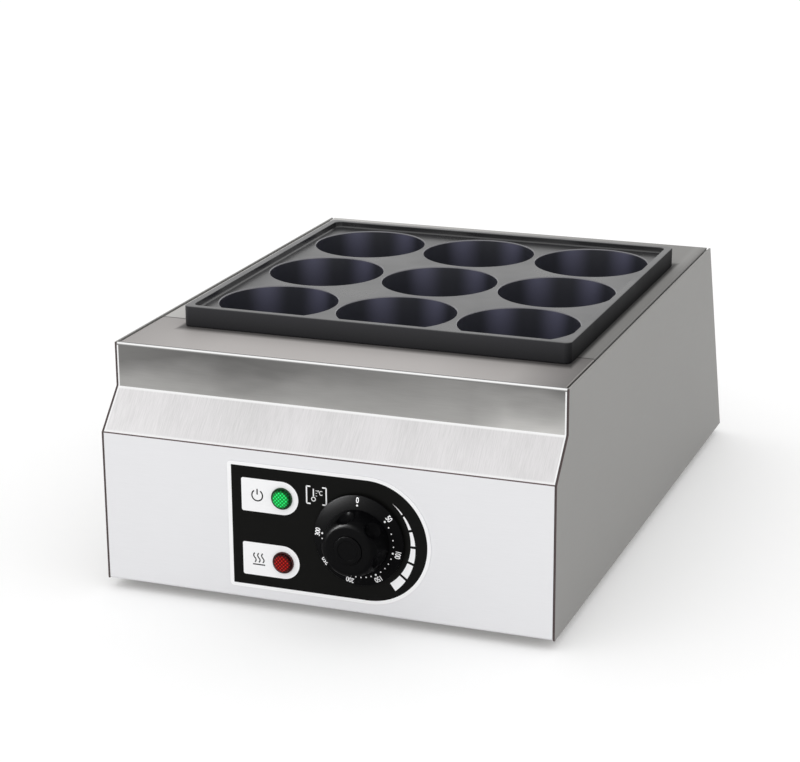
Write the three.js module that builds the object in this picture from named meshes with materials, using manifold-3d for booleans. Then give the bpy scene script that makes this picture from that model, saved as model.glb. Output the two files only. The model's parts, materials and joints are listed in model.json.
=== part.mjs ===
// Electric egg burger maker for a countertop, with nine round wells in one cast mould.
// Millimetres. +X is to the right seen from the front, +Y to the back, +Z up.
import * as THREE from 'three';
import { mergeVertices } from 'three/addons/utils/BufferGeometryUtils.js';
import Module from 'manifold-3d';

const wasm = await Module();
wasm.setup();

// Cabinet sizes
const BODY_WIDTH = 350;
const BODY_HEIGHT = 177.5;
const BASE_DEPTH = 514;
const TOP_DEPTH = 450;
const FACE_HEIGHT = 115.5;
const SLOPE_HEIGHT = 28.5;
const BAND_SETBACK = 26.5;
const SEAM_DEPTH = 100.5;
const SHEET = 1.2;
const SIDE_SHEET = 1.5;
const BEND_RADIUS = 1.6;
const BEND_STEPS = 3;
const FLANGE_WIDTH = 12;
const FRONT_LIP = 15;
const TOP_LIP_DEPTH = 6;
const TOP_LEDGE_WIDTH = 8;
const GROOVE_WIDTH = 1.8;

// Counts of flat sides on round pieces
const WELL_SIDES = 32;
const CUP_SIDES = 20;
const FILLET_STEPS = 2;
const KNOB_SIDES = 36;
const DIAL_SIDES = 48;
const ROUND_SIDES = 20;
const SMALL_SIDES = 12;
const CORNER_STEPS = 4;
const HEATER_SIDES = 10;
const HEATER_BEND_STEPS = 6;
const PIN_SIDES = 8;

// Clearances
const GAP = 0.3;
const FILM = 0.1;
const HOLE_PLAY = 0.3;
const OVERRUN = 5;
const MERGE_DISTANCE = 1e-4;

// Mould sizes
const MOULD_SIDE_ROOM = 23;
const MOULD_BACK_ROOM = 69;
const MOULD_OFFSET = 7.3;
const MOULD_FRONT = 81;
const RIM_HEIGHT = 15.7;
const RIM_WIDTH = 5.5;
const RECESS_DEPTH = 5.1;
const DECK_THICKNESS = 5;
const OUTER_CORNER_RADIUS = 5;
const INNER_CORNER_RADIUS = 6;
const EDGE_BEVEL = 0.8;
const WELL_ROWS = 3;
const WELL_SIDE_ROOM = 14.5;
const WELL_FRONT_ROOM = 10.5;
const WELL_WEB = 5.1;
const WELL_DEPTH = 32;
const WELL_DRAFT = 2;
const WELL_FILLET = 4;
const WELL_LIP = 0.8;
const CUP_WALL = 2.4;
const CUP_FLOOR = 3.7;
const OPENING_CLEARANCE = 1.5;
const BOSS_RADIUS = 7;
const BOSS_LENGTH = 18;

// Heating sizes
const HEATER_RADIUS = 4;
const HEATER_HALF_SPREAD = 22;
const HEATER_FRONT_OVERHANG = 23.4;
const HEATER_BACK_INSET = 4.6;
const PIN_RADIUS = 1.6;
const PIN_LENGTH = 12;
const LINK_THICKNESS = 1;
const LINK_WIDTH = 9;
const LINK_INSET = 4;
const BAR_WIDTH = 16;
const BAR_THICKNESS = 3;
const BAR_OVERHANG = 10;
const BULB_PAD_WIDTH = 10;
const STUD_RADIUS = 3;
const STUD_END = 3;
const STUD_GRIP = 12;
const NUT_FLATS = 10;
const NUT_HEIGHT = 5;
const TRAY_SHEET = 1;
const TRAY_CLEARANCE = 2.5;
const TRAY_FLANGE = 6;
const TRAY_AIR = 3;
const BOARD_THICKNESS = 8;
const BOARD_EDGE_GAP = 1;

// Control sizes
const LABEL_THICKNESS = 0.6;
const LABEL_LEFT = -73.5;
const LABEL_ARC_X = 34.8;
const LABEL_CENTRE_Z = 57.3;
const LABEL_HALF_HEIGHT = 48.4;
const LABEL_CORNER = 3;
const KNOB_X = 29.5;
const KNOB_Z = 58;
const SKIRT_RADIUS = 34.3;
const SKIRT_BACK = 2.9;
const SKIRT_THICKNESS = 3.2;
const SKIRT_RIM = 1.4;
const SKIRT_HUB_RADIUS = 12;
const GRIP_RADIUS = 24.3;
const GRIP_FRONT_RADIUS = 21.5;
const GRIP_EDGE = 5;
const GRIP_DEPTH = 18.2;
const SCALLOPS = 6;
const SCALLOP_RADIUS = 8.5;
const SCALLOP_SETOUT = 6;
const SCALLOP_TURN = -12;
const SCALLOP_STRETCH_SHARE = 1.2;
const CAP_RADIUS = 10.6;
const CAP_THICKNESS = 2;
const CAP_PROUD = 0.8;
const SHAFT_RADIUS = 3;
const SHAFT_GRIP = 12;
const SHAFT_ROOT = 8;
const THERMOSTAT_WIDTH = 36;
const THERMOSTAT_HEIGHT = 42;
const THERMOSTAT_DEPTH = 26;
const THERMOSTAT_TAB_WIDTH = 46;
const THERMOSTAT_TAB_HEIGHT = 12;
const THERMOSTAT_TAB = 2;
const DIAPHRAGM_RADIUS = 9;
const DIAPHRAGM_DEPTH = 4;
const BLADE_WIDTH = 6.3;
const BLADE_THICKNESS = 0.8;
const BLADE_LENGTH = 8;
const BLADE_SPREAD = 20;
const BLADE_DROP = 12;
const TAB_SCREW_SPREAD = 39;
const BULB_RADIUS = 3;
const BULB_LENGTH = 90;
const BULB_INSET = 39.6;
const CAPILLARY_RADIUS = 1.1;
const CAPILLARY_BEND = 12;
const CAPILLARY_SET_BACK = 12;
const LAMP_X = -30.6;
const LAMP_Z = [81.5, 32];
const BEZEL_RADIUS = 8.2;
const BEZEL_THICKNESS = 1.6;
const BARREL_RADIUS = 6;
const BARREL_LENGTH = 26;
const LENS_RADIUS = 7;
const LENS_RISE = 3.2;
const LENS_WALL = 1.3;
const LENS_STEM_RADIUS = 4.5;
const LENS_STEM = 8;
const CLIP_RADIUS = 9.5;
const CLIP_THICKNESS = 3;

// Sizes of the feet, screws, gland, vents and wiring
const FOOT_HEIGHT = 8;
const FOOT_RADIUS = 13;
const FOOT_TAPER = 2;
const FOOT_SIDE_INSET = 35;
const FOOT_FRONT = 50;
const FOOT_BACK_INSET = 60;
const FOOT_BORE_DEPTH = 7;
const M5_RADIUS = 2.5;
const M4_RADIUS = 2;
const HEAD_RATIO = 1.9;
const HEAD_HEIGHT_RATIO = 1.1;
const REAR_SCREW_LENGTH = 8;
const REAR_SCREW_HEIGHT = 28;
const REAR_SCREW_DROP = 38.7;
const VENT_LENGTH = 52;
const VENT_WIDTH = 4;
const VENT_PITCH = 13;
const VENT_COUNT = 8;
const REAR_VENT_HEIGHT = 112;
const REAR_VENT_X = 62;
const BASE_VENT_DEPTHS = [170, 330];
const GLAND_SIDE_INSET = 63;
const GLAND_HEIGHT = 62;
const GLAND_BORE = 5;
const GLAND_BARREL = 8;
const GLAND_INNER_LENGTH = 14;
const GLAND_OUTER_LENGTH = 9;
const GLAND_FLATS = 24;
const GLAND_FLANGE = 5;
const GLAND_NUT_RADIUS = 11;
const GLAND_NUT_LENGTH = 13;
const LOCKNUT_HEIGHT = 5;
const BLOCK_SIDE_INSET = 115;
const BLOCK_BACK_INSET = 90;
const BLOCK_WIDTH = 48;
const BLOCK_DEPTH = 24;
const BLOCK_HEIGHT = 18;
const BLOCK_POLE_COUNT = 3;
const BLOCK_SLOT = 2;
const BLOCK_LEDGE_WIDTH = 7;
const BLOCK_LEDGE_HEIGHT = 10;
const WIRE_RADIUS = 1.4;
const WIRE_SIDES = 6;
const WIRE_BEND = 9;
const WIRE_BEND_STEPS = 3;
const WIRE_HEIGHT = 14;
const CROSS_HEIGHT = 24;
const WIRE_TURN_BACK = 18;

// Worked out from the sizes above
const FACE_HALF = BODY_WIDTH / 2 - SIDE_SHEET - GAP;
const INNER_HALF = BODY_WIDTH / 2 - SIDE_SHEET;
const TOP_HALF = INNER_HALF - GROOVE_WIDTH;
const LEAN = Math.atan2(BASE_DEPTH - TOP_DEPTH, BODY_HEIGHT);
const REAR_SCREW_HEIGHTS = [REAR_SCREW_HEIGHT, BODY_HEIGHT / Math.cos(LEAN) - REAR_SCREW_DROP];
const FOOT_X = BODY_WIDTH / 2 - FOOT_SIDE_INSET;
const GLAND_X = GLAND_SIDE_INSET - BODY_WIDTH / 2;
const BLOCK_X = BLOCK_SIDE_INSET - BODY_WIDTH / 2;
const BASE_Z = SIDE_SHEET + GAP;
const BASE_TOP = BASE_Z + SHEET;
const UNDER_TOP = BODY_HEIGHT - SHEET - GAP;
const MOULD_Z = BODY_HEIGHT + GAP;
const MOULD_WIDTH = BODY_WIDTH - 2 * MOULD_SIDE_ROOM;
const MOULD_DEPTH = TOP_DEPTH - MOULD_FRONT - MOULD_BACK_ROOM;
const MOULD_Y = MOULD_FRONT + MOULD_DEPTH / 2;
const WELL_PITCH = Math.min(MOULD_WIDTH - WELL_SIDE_ROOM, MOULD_DEPTH - WELL_FRONT_ROOM) / WELL_ROWS;
const WELL_RADIUS = (WELL_PITCH - WELL_WEB) / 2;
const DECK_TOP = RIM_HEIGHT - RECESS_DEPTH;
const CUP_REACH = WELL_PITCH * (WELL_ROWS - 1) / 2 + WELL_RADIUS + CUP_WALL;
const OPENING_HALF = CUP_REACH + OPENING_CLEARANCE;
const HEATER_FRONT_REACH = CUP_REACH + HEATER_FRONT_OVERHANG;
const HEATER_BACK_REACH = CUP_REACH - HEATER_BACK_INSET;
const BULB_FRONT = CUP_REACH - BULB_INSET;
const CUP_BOTTOM = DECK_TOP - WELL_DEPTH - CUP_FLOOR;
const HEATER_Z = CUP_BOTTOM - GAP - HEATER_RADIUS;
const BAR_TOP = HEATER_Z - HEATER_RADIUS - GAP;
const BAR_BOTTOM = BAR_TOP - BAR_THICKNESS;
const NUT_BOTTOM = BAR_BOTTOM - GAP - NUT_HEIGHT;
const STUD_BOTTOM = NUT_BOTTOM - STUD_END;
const BOARD_TOP = STUD_BOTTOM - TRAY_AIR;
const BOARD_BOTTOM = BOARD_TOP - BOARD_THICKNESS;
const TRAY_FLOOR = BOARD_BOTTOM - GAP;
const TRAY_HALF = CUP_REACH + TRAY_CLEARANCE;
const TRAY_TOP = UNDER_TOP - MOULD_Z;
const BOSS_BOTTOM = DECK_TOP - DECK_THICKNESS - BOSS_LENGTH;
const LABEL_FRONT = FILM + LABEL_THICKNESS;
const GRIP_BACK = SKIRT_BACK + SKIRT_THICKNESS + GAP;
const GRIP_FRONT = GRIP_BACK + GRIP_DEPTH;
const KNOB_REACH = GRIP_FRONT + CAP_PROUD;
const BACK_LIMIT = BASE_DEPTH;
const CENTRE_DEPTH = (BACK_LIMIT - KNOB_REACH) / 2;

// Solids and geometries
const V2 = (x, y) => new THREE.Vector2(x, y);
const V3 = (x, y, z) => new THREE.Vector3(x, y, z);

function solid(geometry) {
  const bare = geometry.clone();
  bare.deleteAttribute('normal');
  bare.deleteAttribute('uv');
  const merged = mergeVertices(bare, MERGE_DISTANCE);
  const vertProperties = new Float32Array(merged.attributes.position.array);
  const triVerts = new Uint32Array(merged.index.array);
  return new wasm.Manifold(new wasm.Mesh({ numProp: 3, vertProperties, triVerts }));
}

function geometryOf(body) {
  const mesh = body.getMesh();
  const geometry = new THREE.BufferGeometry();
  geometry.setAttribute('position', new THREE.BufferAttribute(mesh.vertProperties, mesh.numProp));
  geometry.setIndex(new THREE.BufferAttribute(mesh.triVerts, 1));
  return geometry;
}

function join(bodies) {
  return bodies.reduce((all, one) => all.add(one));
}

function cut(body, tools) {
  return tools.reduce((left, tool) => left.subtract(tool), body);
}

function extrude(shape, depth, curveSegments = SMALL_SIDES) {
  return new THREE.ExtrudeGeometry(shape, { depth, bevelEnabled: false, curveSegments });
}

// A box between two corners
function block(low, high) {
  const geometry = new THREE.BoxGeometry(high.x - low.x, high.y - low.y, high.z - low.z);
  geometry.translate((low.x + high.x) / 2, (low.y + high.y) / 2, (low.z + high.z) / 2);
  return solid(geometry);
}

// A Y-Z outline drawn out along X
function alongX(shape, low, high) {
  const geometry = extrude(shape, high - low);
  geometry.applyMatrix4(new THREE.Matrix4().makeBasis(V3(0, 1, 0), V3(0, 0, 1), V3(1, 0, 0)));
  geometry.translate(low, 0, 0);
  return solid(geometry);
}

// An X-Z outline drawn out along Y
function alongY(shape, low, high, curveSegments) {
  const geometry = extrude(shape, high - low, curveSegments);
  geometry.rotateX(Math.PI / 2);
  geometry.translate(0, high, 0);
  return solid(geometry);
}

// An X-Y outline drawn out along Z
function alongZ(shape, low, high, curveSegments) {
  const geometry = extrude(shape, high - low, curveSegments);
  geometry.translate(0, 0, low);
  return solid(geometry);
}

// A profile of radius and height turned about Z
function turned(profile, sides) {
  const geometry = new THREE.LatheGeometry(profile.map(([r, h]) => V2(r, h)), sides);
  geometry.rotateX(Math.PI / 2);
  return solid(geometry);
}

function rod(radius, low, high, sides) {
  return turned([[0, low], [radius, low], [radius, high], [0, high]], sides);
}

function polygon(radius, sides, turn = 0) {
  const corner = (k) => V2(0, radius).rotateAround(V2(0, 0), turn + 2 * Math.PI * k / sides);
  return new THREE.Shape(Array.from({ length: sides }, (_, k) => corner(k)));
}

function hexagon(flats) {
  return polygon(flats / Math.sqrt(3), 6);
}

function roundedRectangle(width, depth, radius) {
  const [x, y] = [width / 2 - radius, depth / 2 - radius];
  const shape = new THREE.Shape();
  shape.absarc(x, -y, radius, -Math.PI / 2, 0);
  shape.absarc(x, y, radius, 0, Math.PI / 2);
  shape.absarc(-x, y, radius, Math.PI / 2, Math.PI);
  shape.absarc(-x, -y, radius, Math.PI, 1.5 * Math.PI);
  return shape;
}

// Unit normal on the left of a direction
function leftOf(direction) {
  return V2(-direction.y, direction.x);
}

// An open line moved to its left, with mitred corners
function movedLeft(corners, distance) {
  return corners.map((corner, i) => {
    const before = corners[Math.max(i - 1, 0)];
    const after = corners[Math.min(i + 1, corners.length - 1)];
    const into = i > 0 ? corner.clone().sub(before).normalize() : after.clone().sub(corner).normalize();
    const out = i < corners.length - 1 ? after.clone().sub(corner).normalize() : into;
    const sum = leftOf(into).add(leftOf(out));
    return corner.clone().addScaledVector(sum, distance / (1 + leftOf(into).dot(leftOf(out))));
  });
}

// Points and normals along an open line whose inner corners are rounded
function bentLine(corners, radius) {
  const line = [];
  corners.forEach((corner, i) => {
    const isEnd = i === 0 || i === corners.length - 1;
    const near = i === 0 ? corner : corners[i - 1];
    const far = isEnd ? corners[Math.max(i, 1)] : corners[i + 1];
    const into = (i === 0 ? far.clone().sub(corner) : corner.clone().sub(near)).normalize();
    if (isEnd) {
      line.push({ point: corner, normal: leftOf(into) });
      return;
    }
    const out = far.clone().sub(corner).normalize();
    const turn = Math.atan2(into.cross(out), into.dot(out));
    const side = Math.sign(turn);
    const start = corner.clone().addScaledVector(into, -radius * Math.tan(Math.abs(turn) / 2));
    const centre = start.addScaledVector(leftOf(into), side * radius);
    for (let k = 0; k <= BEND_STEPS; k += 1) {
      const normal = leftOf(into).rotateAround(V2(0, 0), turn * k / BEND_STEPS);
      line.push({ point: centre.clone().addScaledVector(normal, -side * radius), normal });
    }
  });
  return line;
}

// Section of a folded sheet whose outer face follows the corners, with the sheet on their left
function sheetSection(corners, thickness) {
  const line = bentLine(movedLeft(corners, thickness / 2), BEND_RADIUS);
  const side = (distance) => line.map(({ point, normal }) => point.clone().addScaledVector(normal, distance));
  return new THREE.Shape([...side(-thickness / 2), ...side(thickness / 2).reverse()]);
}

// A route through fixed points, without spacing them anew
class Route extends THREE.Curve {
  constructor(points) {
    super();
    this.points = points;
  }

  getPoint(t) {
    const last = this.points.length - 1;
    const index = Math.min(Math.floor(t * last + 1e-9), last - 1);
    return this.points[index].clone().lerp(this.points[index + 1], t * last - index);
  }

  getPointAt(u) {
    return this.getPoint(u);
  }

  getTangentAt(u) {
    const last = this.points.length - 1;
    const index = Math.round(u * last);
    const before = this.points[Math.max(index - 1, 0)];
    const after = this.points[Math.min(index + 1, last)];
    const into = this.points[index].clone().sub(before).normalize();
    const out = after.clone().sub(this.points[index]).normalize();
    return into.add(out).normalize();
  }
}

// Points along a line in space whose inner corners are rounded
function roundedRoute(corners, radius, steps) {
  const points = [corners[0]];
  for (let i = 1; i < corners.length - 1; i += 1) {
    const into = corners[i].clone().sub(corners[i - 1]).normalize();
    const out = corners[i + 1].clone().sub(corners[i]).normalize();
    const turn = into.angleTo(out);
    const reach = radius * Math.tan(turn / 2);
    const start = corners[i].clone().addScaledVector(into, -reach);
    const inward = out.clone().addScaledVector(into, -out.dot(into)).normalize();
    for (let k = 0; k <= steps; k += 1) {
      const angle = turn * k / steps;
      const along = start.clone().addScaledVector(into, radius * Math.sin(angle));
      points.push(along.addScaledVector(inward, radius * (1 - Math.cos(angle))));
    }
  }
  points.push(corners[corners.length - 1]);
  return points;
}

function tube(points, radius, sides) {
  const shape = polygon(radius, sides);
  const settings = { steps: points.length - 1, extrudePath: new Route(points), bevelEnabled: false };
  return new THREE.ExtrudeGeometry(shape, settings);
}

// Materials
function finish(color, roughness, metalness) {
  return new THREE.MeshStandardMaterial({ color, roughness, metalness });
}

const brushedSteel = finish(0xb4b3b0, 0.35, 1);
const paleFace = finish(0xe7e7e9, 0.45, 0.3);
const sideSteel = finish(0x999895, 0.5, 0.6);
const innerSteel = finish(0x9d9b97, 0.55, 0.9);
const nonstick = finish(0x2b2b2e, 0.45, 0.1);
const elementSteel = finish(0x4e4a46, 0.5, 0.9);
const zinc = finish(0xc6c8c4, 0.35, 1);
const boardGrey = finish(0xcfcabd, 0.95, 0);
const labelBlack = finish(0x1a1a18, 0.4, 0);
const knobBlack = finish(0x0f1011, 0.45, 0);
const greenLens = finish(0x1f9a4a, 0.2, 0);
const redLens = finish(0xa3201f, 0.2, 0);
const rubber = finish(0x1b1b1b, 0.9, 0);
const ceramic = finish(0xece8df, 0.6, 0);
const nylon = finish(0x202124, 0.6, 0);
const copper = finish(0xb87547, 0.35, 1);
const liveWire = finish(0x7a3e1d, 0.7, 0);
const neutralWire = finish(0x1f4f9a, 0.7, 0);

const group = new THREE.Group();
const cabinet = new THREE.Group();
cabinet.position.set(0, -CENTRE_DEPTH, FOOT_HEIGHT);
group.add(cabinet);

function place(parent, name, shape, material, x = 0, y = 0, z = 0) {
  const geometry = shape.isBufferGeometry ? shape : geometryOf(shape);
  const mesh = new THREE.Mesh(geometry, material);
  mesh.name = name;
  mesh.position.set(x, y, z);
  parent.add(mesh);
  return mesh;
}

function subgroup(parent, x, y, z) {
  const nested = new THREE.Group();
  nested.position.set(x, y, z);
  parent.add(nested);
  return nested;
}

// The opening under the mould, shared by the front cover and the top plate
function mouldOpening() {
  const low = V3(MOULD_OFFSET - OPENING_HALF, MOULD_Y - OPENING_HALF, UNDER_TOP);
  const high = V3(MOULD_OFFSET + OPENING_HALF, MOULD_Y + OPENING_HALF, BODY_HEIGHT + OVERRUN);
  return block(low, high);
}

// The folded-down lip along one side of the top
function topLip(side, front, back) {
  const xs = [side * (TOP_HALF - SHEET), side * TOP_HALF].sort((a, b) => a - b);
  return block(V3(xs[0], front, BODY_HEIGHT - TOP_LIP_DEPTH), V3(xs[1], back, BODY_HEIGHT - SHEET / 2));
}

function frontCover() {
  const outer = [
    V2(FRONT_LIP, 0), V2(0, 0), V2(0, FACE_HEIGHT), V2(BAND_SETBACK, FACE_HEIGHT + SLOPE_HEIGHT),
    V2(BAND_SETBACK, BODY_HEIGHT), V2(SEAM_DEPTH, BODY_HEIGHT),
  ];
  const section = sheetSection(outer.reverse(), SHEET);
  const sheet = alongX(section, -FACE_HALF, FACE_HALF);
  const flangeFront = BAND_SETBACK + BEND_RADIUS + SHEET;
  const lips = [-1, 1].map((side) => topLip(side, flangeFront, SEAM_DEPTH));
  const trims = [-1, 1].map((side) => {
    const xs = [side * TOP_HALF, side * (FACE_HALF + OVERRUN)].sort((a, b) => a - b);
    return block(V3(xs[0], flangeFront, UNDER_TOP), V3(xs[1], SEAM_DEPTH + OVERRUN, BODY_HEIGHT + OVERRUN));
  });
  const body = cut(sheet, [mouldOpening(), ...trims, ...faceHoles(M4_RADIUS + HOLE_PLAY)]);
  return join([body, ...lips]);
}

// A round tool through the control face
function rodThroughFace(x, z, radius) {
  const geometry = new THREE.CylinderGeometry(radius, radius, SHEET + 2 * OVERRUN, ROUND_SIDES);
  geometry.translate(x, SHEET / 2, z);
  return solid(geometry);
}

// The holes for the lamps, the shaft and the thermostat's screws
function faceHoles(screwHole) {
  const lamps = LAMP_Z.map((z) => rodThroughFace(LAMP_X, z, BARREL_RADIUS + HOLE_PLAY));
  const shaft = rodThroughFace(KNOB_X, KNOB_Z, SHAFT_RADIUS + SHEET);
  const screws = [-1, 1].map((side) => {
    return rodThroughFace(KNOB_X + side * TAB_SCREW_SPREAD / 2, KNOB_Z, screwHole);
  });
  return [...lamps, shaft, ...screws];
}

function sidePanel(side) {
  const outline = new THREE.Shape([
    V2(0, 0), V2(BASE_DEPTH, 0), V2(TOP_DEPTH, BODY_HEIGHT), V2(BAND_SETBACK, BODY_HEIGHT),
    V2(BAND_SETBACK, FACE_HEIGHT + SLOPE_HEIGHT), V2(0, FACE_HEIGHT),
  ]);
  const across = (inner, outer) => [side * inner, side * outer].sort((a, b) => a - b);
  const [plateLow, plateHigh] = across(INNER_HALF, BODY_WIDTH / 2);
  const plate = alongX(outline, plateLow, plateHigh);
  const strip = (width, y0, y1, z0, z1) => {
    const [low, high] = across(INNER_HALF - width, INNER_HALF + SIDE_SHEET / 2);
    return block(V3(low, y0, z0), V3(high, y1, z1));
  };
  const ledgeTop = BODY_HEIGHT - TOP_LIP_DEPTH - GAP;
  const ledgeFront = BAND_SETBACK + SHEET + BEND_RADIUS;
  const ledge = strip(TOP_LEDGE_WIDTH, ledgeFront, TOP_DEPTH - FLANGE_WIDTH, ledgeTop - SIDE_SHEET, ledgeTop);
  const foot = strip(FLANGE_WIDTH, FRONT_LIP + GAP, BASE_DEPTH - FLANGE_WIDTH, 0, SIDE_SHEET);
  const faceBack = SHEET + GAP;
  const frontTop = FACE_HEIGHT - FLANGE_WIDTH;
  const front = strip(FLANGE_WIDTH, faceBack, faceBack + SIDE_SHEET, FLANGE_WIDTH, frontTop);
  const holes = REAR_SCREW_HEIGHTS.map((height) => {
    return rearTool(side * rearScrewX(), height, M4_RADIUS + HOLE_PLAY);
  });
  return cut(join([plate, ledge, foot, front, rearFlange(across)]), holes);
}

// The sloping strip of a side panel that the rear panel is screwed to
function rearFlange(across) {
  const [low, high] = across(INNER_HALF - FLANGE_WIDTH, INNER_HALF + SIDE_SHEET / 2);
  const inset = (SHEET + GAP) / Math.cos(LEAN);
  const thickness = SIDE_SHEET / Math.cos(LEAN);
  const slope = (z) => BASE_DEPTH - z * Math.tan(LEAN) - inset;
  const bottom = FLANGE_WIDTH;
  const top = BODY_HEIGHT - 2 * FLANGE_WIDTH;
  const outline = new THREE.Shape([
    V2(slope(bottom) - thickness, bottom), V2(slope(bottom), bottom),
    V2(slope(top), top), V2(slope(top) - thickness, top),
  ]);
  return alongX(outline, low, high);
}

function rearScrewX() {
  return INNER_HALF - FLANGE_WIDTH / 2;
}

// The place of a point of the sloping back, by its height along the slope
function onRear(height) {
  return V3(0, BASE_DEPTH - height * Math.sin(LEAN), height * Math.cos(LEAN));
}

// Turns a shape made along +Z outwards at a height of the sloping back
function toRear(geometry, x, height) {
  const spot = onRear(height);
  geometry.rotateX(LEAN - Math.PI / 2);
  geometry.translate(x, spot.y, spot.z);
  return solid(geometry);
}

function rearTool(x, height, radius) {
  const geometry = new THREE.CylinderGeometry(radius, radius, 2 * OVERRUN, SMALL_SIDES);
  geometry.rotateX(Math.PI / 2);
  return toRear(geometry, x, height);
}

function rearPanel() {
  const along = (z) => BASE_DEPTH - z * Math.tan(LEAN);
  const bottom = BASE_Z;
  const outer = [
    V2(along(bottom), bottom), V2(along(UNDER_TOP), UNDER_TOP),
    V2(TOP_DEPTH - FLANGE_WIDTH, UNDER_TOP),
  ];
  const sheet = alongX(sheetSection(outer, SHEET), -FACE_HALF, FACE_HALF);
  const slots = [];
  for (let k = 0; k < VENT_COUNT; k += 1) {
    for (const side of [-1, 1]) {
      const geometry = new THREE.BoxGeometry(VENT_WIDTH, VENT_LENGTH, 2 * OVERRUN);
      const x = side * (REAR_VENT_X + (k - (VENT_COUNT - 1) / 2) * VENT_PITCH);
      slots.push(toRear(geometry, x, REAR_VENT_HEIGHT));
    }
  }
  const screws = REAR_SCREW_HEIGHTS.flatMap((height) => [-1, 1].map((side) => {
    return rearTool(side * rearScrewX(), height, M4_RADIUS + HOLE_PLAY);
  }));
  const gland = rearTool(GLAND_X, GLAND_HEIGHT, GLAND_BARREL + HOLE_PLAY);
  return cut(sheet, [...slots, ...screws, gland]);
}

function footPlaces() {
  const depths = [FOOT_FRONT, BASE_DEPTH - FOOT_BACK_INSET];
  return depths.flatMap((y) => [-1, 1].map((side) => V3(side * FOOT_X, y, 0)));
}

function basePlate() {
  const front = SHEET + 2 * GAP + SIDE_SHEET;
  const back = BASE_DEPTH - SHEET - FLANGE_WIDTH / 2;
  const plate = block(V3(-FACE_HALF, front, BASE_Z), V3(FACE_HALF, back, BASE_TOP));
  const tabHalf = FACE_HALF - 2 * FLANGE_WIDTH;
  const tab = block(V3(-tabHalf, front, BASE_Z), V3(tabHalf, front + SHEET, BASE_Z + FLANGE_WIDTH));
  const slots = BASE_VENT_DEPTHS.flatMap((y) => Array.from({ length: VENT_COUNT }, (_, k) => {
    const x = (k - (VENT_COUNT - 1) / 2) * 2 * VENT_PITCH;
    const half = V3(VENT_WIDTH / 2, VENT_LENGTH / 2, OVERRUN);
    return block(V3(x, y, BASE_Z).sub(half), V3(x, y, BASE_Z).add(half));
  }));
  const hole = rod(M5_RADIUS + HOLE_PLAY, -OVERRUN, OVERRUN, SMALL_SIDES);
  const holes = footPlaces().map(({ x, y }) => hole.translate([x, y, BASE_Z]));
  return cut(plate.add(tab), [...slots, ...holes]);
}

function topPlate() {
  const front = SEAM_DEPTH + GAP;
  const plate = block(V3(-TOP_HALF, front, BODY_HEIGHT - SHEET), V3(TOP_HALF, TOP_DEPTH, BODY_HEIGHT));
  const lips = [-1, 1].map((side) => topLip(side, front, TOP_DEPTH - FLANGE_WIDTH));
  return join([cut(plate, [mouldOpening()]), ...lips]);
}

// Calls a function with the centre of each well
function overWells(make) {
  const centres = Array.from({ length: WELL_ROWS }, (_, k) => (k - (WELL_ROWS - 1) / 2) * WELL_PITCH);
  return centres.flatMap((y) => centres.map((x) => make(x, y)));
}

// Centres of the four studs, between the wells
function overStuds(make) {
  const half = WELL_PITCH / 2;
  return [-half, half].flatMap((y) => [-half, half].map((x) => make(x, y)));
}

function wellCavity() {
  const floor = DECK_TOP - WELL_DEPTH;
  const profile = [[0, floor]];
  const foot = WELL_RADIUS - WELL_DRAFT;
  for (let k = 0; k <= FILLET_STEPS; k += 1) {
    const angle = Math.PI / 2 * k / FILLET_STEPS;
    profile.push([foot - WELL_FILLET * (1 - Math.sin(angle)), floor + WELL_FILLET * (1 - Math.cos(angle))]);
  }
  profile.push([WELL_RADIUS - WELL_LIP, DECK_TOP - WELL_LIP], [WELL_RADIUS, DECK_TOP]);
  profile.push([WELL_RADIUS, DECK_TOP + OVERRUN], [0, DECK_TOP + OVERRUN]);
  return turned(profile, WELL_SIDES);
}

function cupOutside() {
  const top = WELL_RADIUS + CUP_WALL;
  const foot = top - WELL_DRAFT;
  const deckMiddle = DECK_TOP - DECK_THICKNESS / 2;
  return turned([
    [0, CUP_BOTTOM], [foot - WELL_FILLET / 2, CUP_BOTTOM], [foot, CUP_BOTTOM + WELL_FILLET / 2],
    [top, deckMiddle], [0, deckMiddle],
  ], CUP_SIDES);
}

function mouldPlate() {
  const settings = {
    depth: RIM_HEIGHT - 2 * EDGE_BEVEL, bevelThickness: EDGE_BEVEL, bevelSize: EDGE_BEVEL,
    bevelOffset: -EDGE_BEVEL, bevelSegments: 1, curveSegments: CORNER_STEPS,
  };
  const outline = roundedRectangle(MOULD_WIDTH, MOULD_DEPTH, OUTER_CORNER_RADIUS);
  const casting = new THREE.ExtrudeGeometry(outline, settings);
  casting.translate(0, 0, EDGE_BEVEL);
  const innerWidth = MOULD_WIDTH - 2 * RIM_WIDTH;
  const innerDepth = MOULD_DEPTH - 2 * RIM_WIDTH;
  const inner = roundedRectangle(innerWidth, innerDepth, INNER_CORNER_RADIUS);
  const recess = alongZ(inner, DECK_TOP, RIM_HEIGHT + OVERRUN, CORNER_STEPS);
  const under = alongZ(inner, -OVERRUN, DECK_TOP - DECK_THICKNESS, CORNER_STEPS);
  const shell = cut(solid(casting), [recess, under]);
  const cups = overWells((x, y) => cupOutside().translate([x, y, 0]));
  const boss = rod(BOSS_RADIUS, BOSS_BOTTOM, DECK_TOP - DECK_THICKNESS / 2, SMALL_SIDES);
  const bosses = overStuds((x, y) => boss.translate([x, y, 0]));
  const wells = overWells((x, y) => wellCavity().translate([x, y, 0]));
  const boreTop = BOSS_BOTTOM + STUD_GRIP + GAP;
  const bore = rod(STUD_RADIUS + HOLE_PLAY, BOSS_BOTTOM - OVERRUN, boreTop, SMALL_SIDES);
  const bores = overStuds((x, y) => bore.translate([x, y, 0]));
  return cut(join([shell, ...cups, ...bosses]), [...wells, ...bores]);
}

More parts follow.
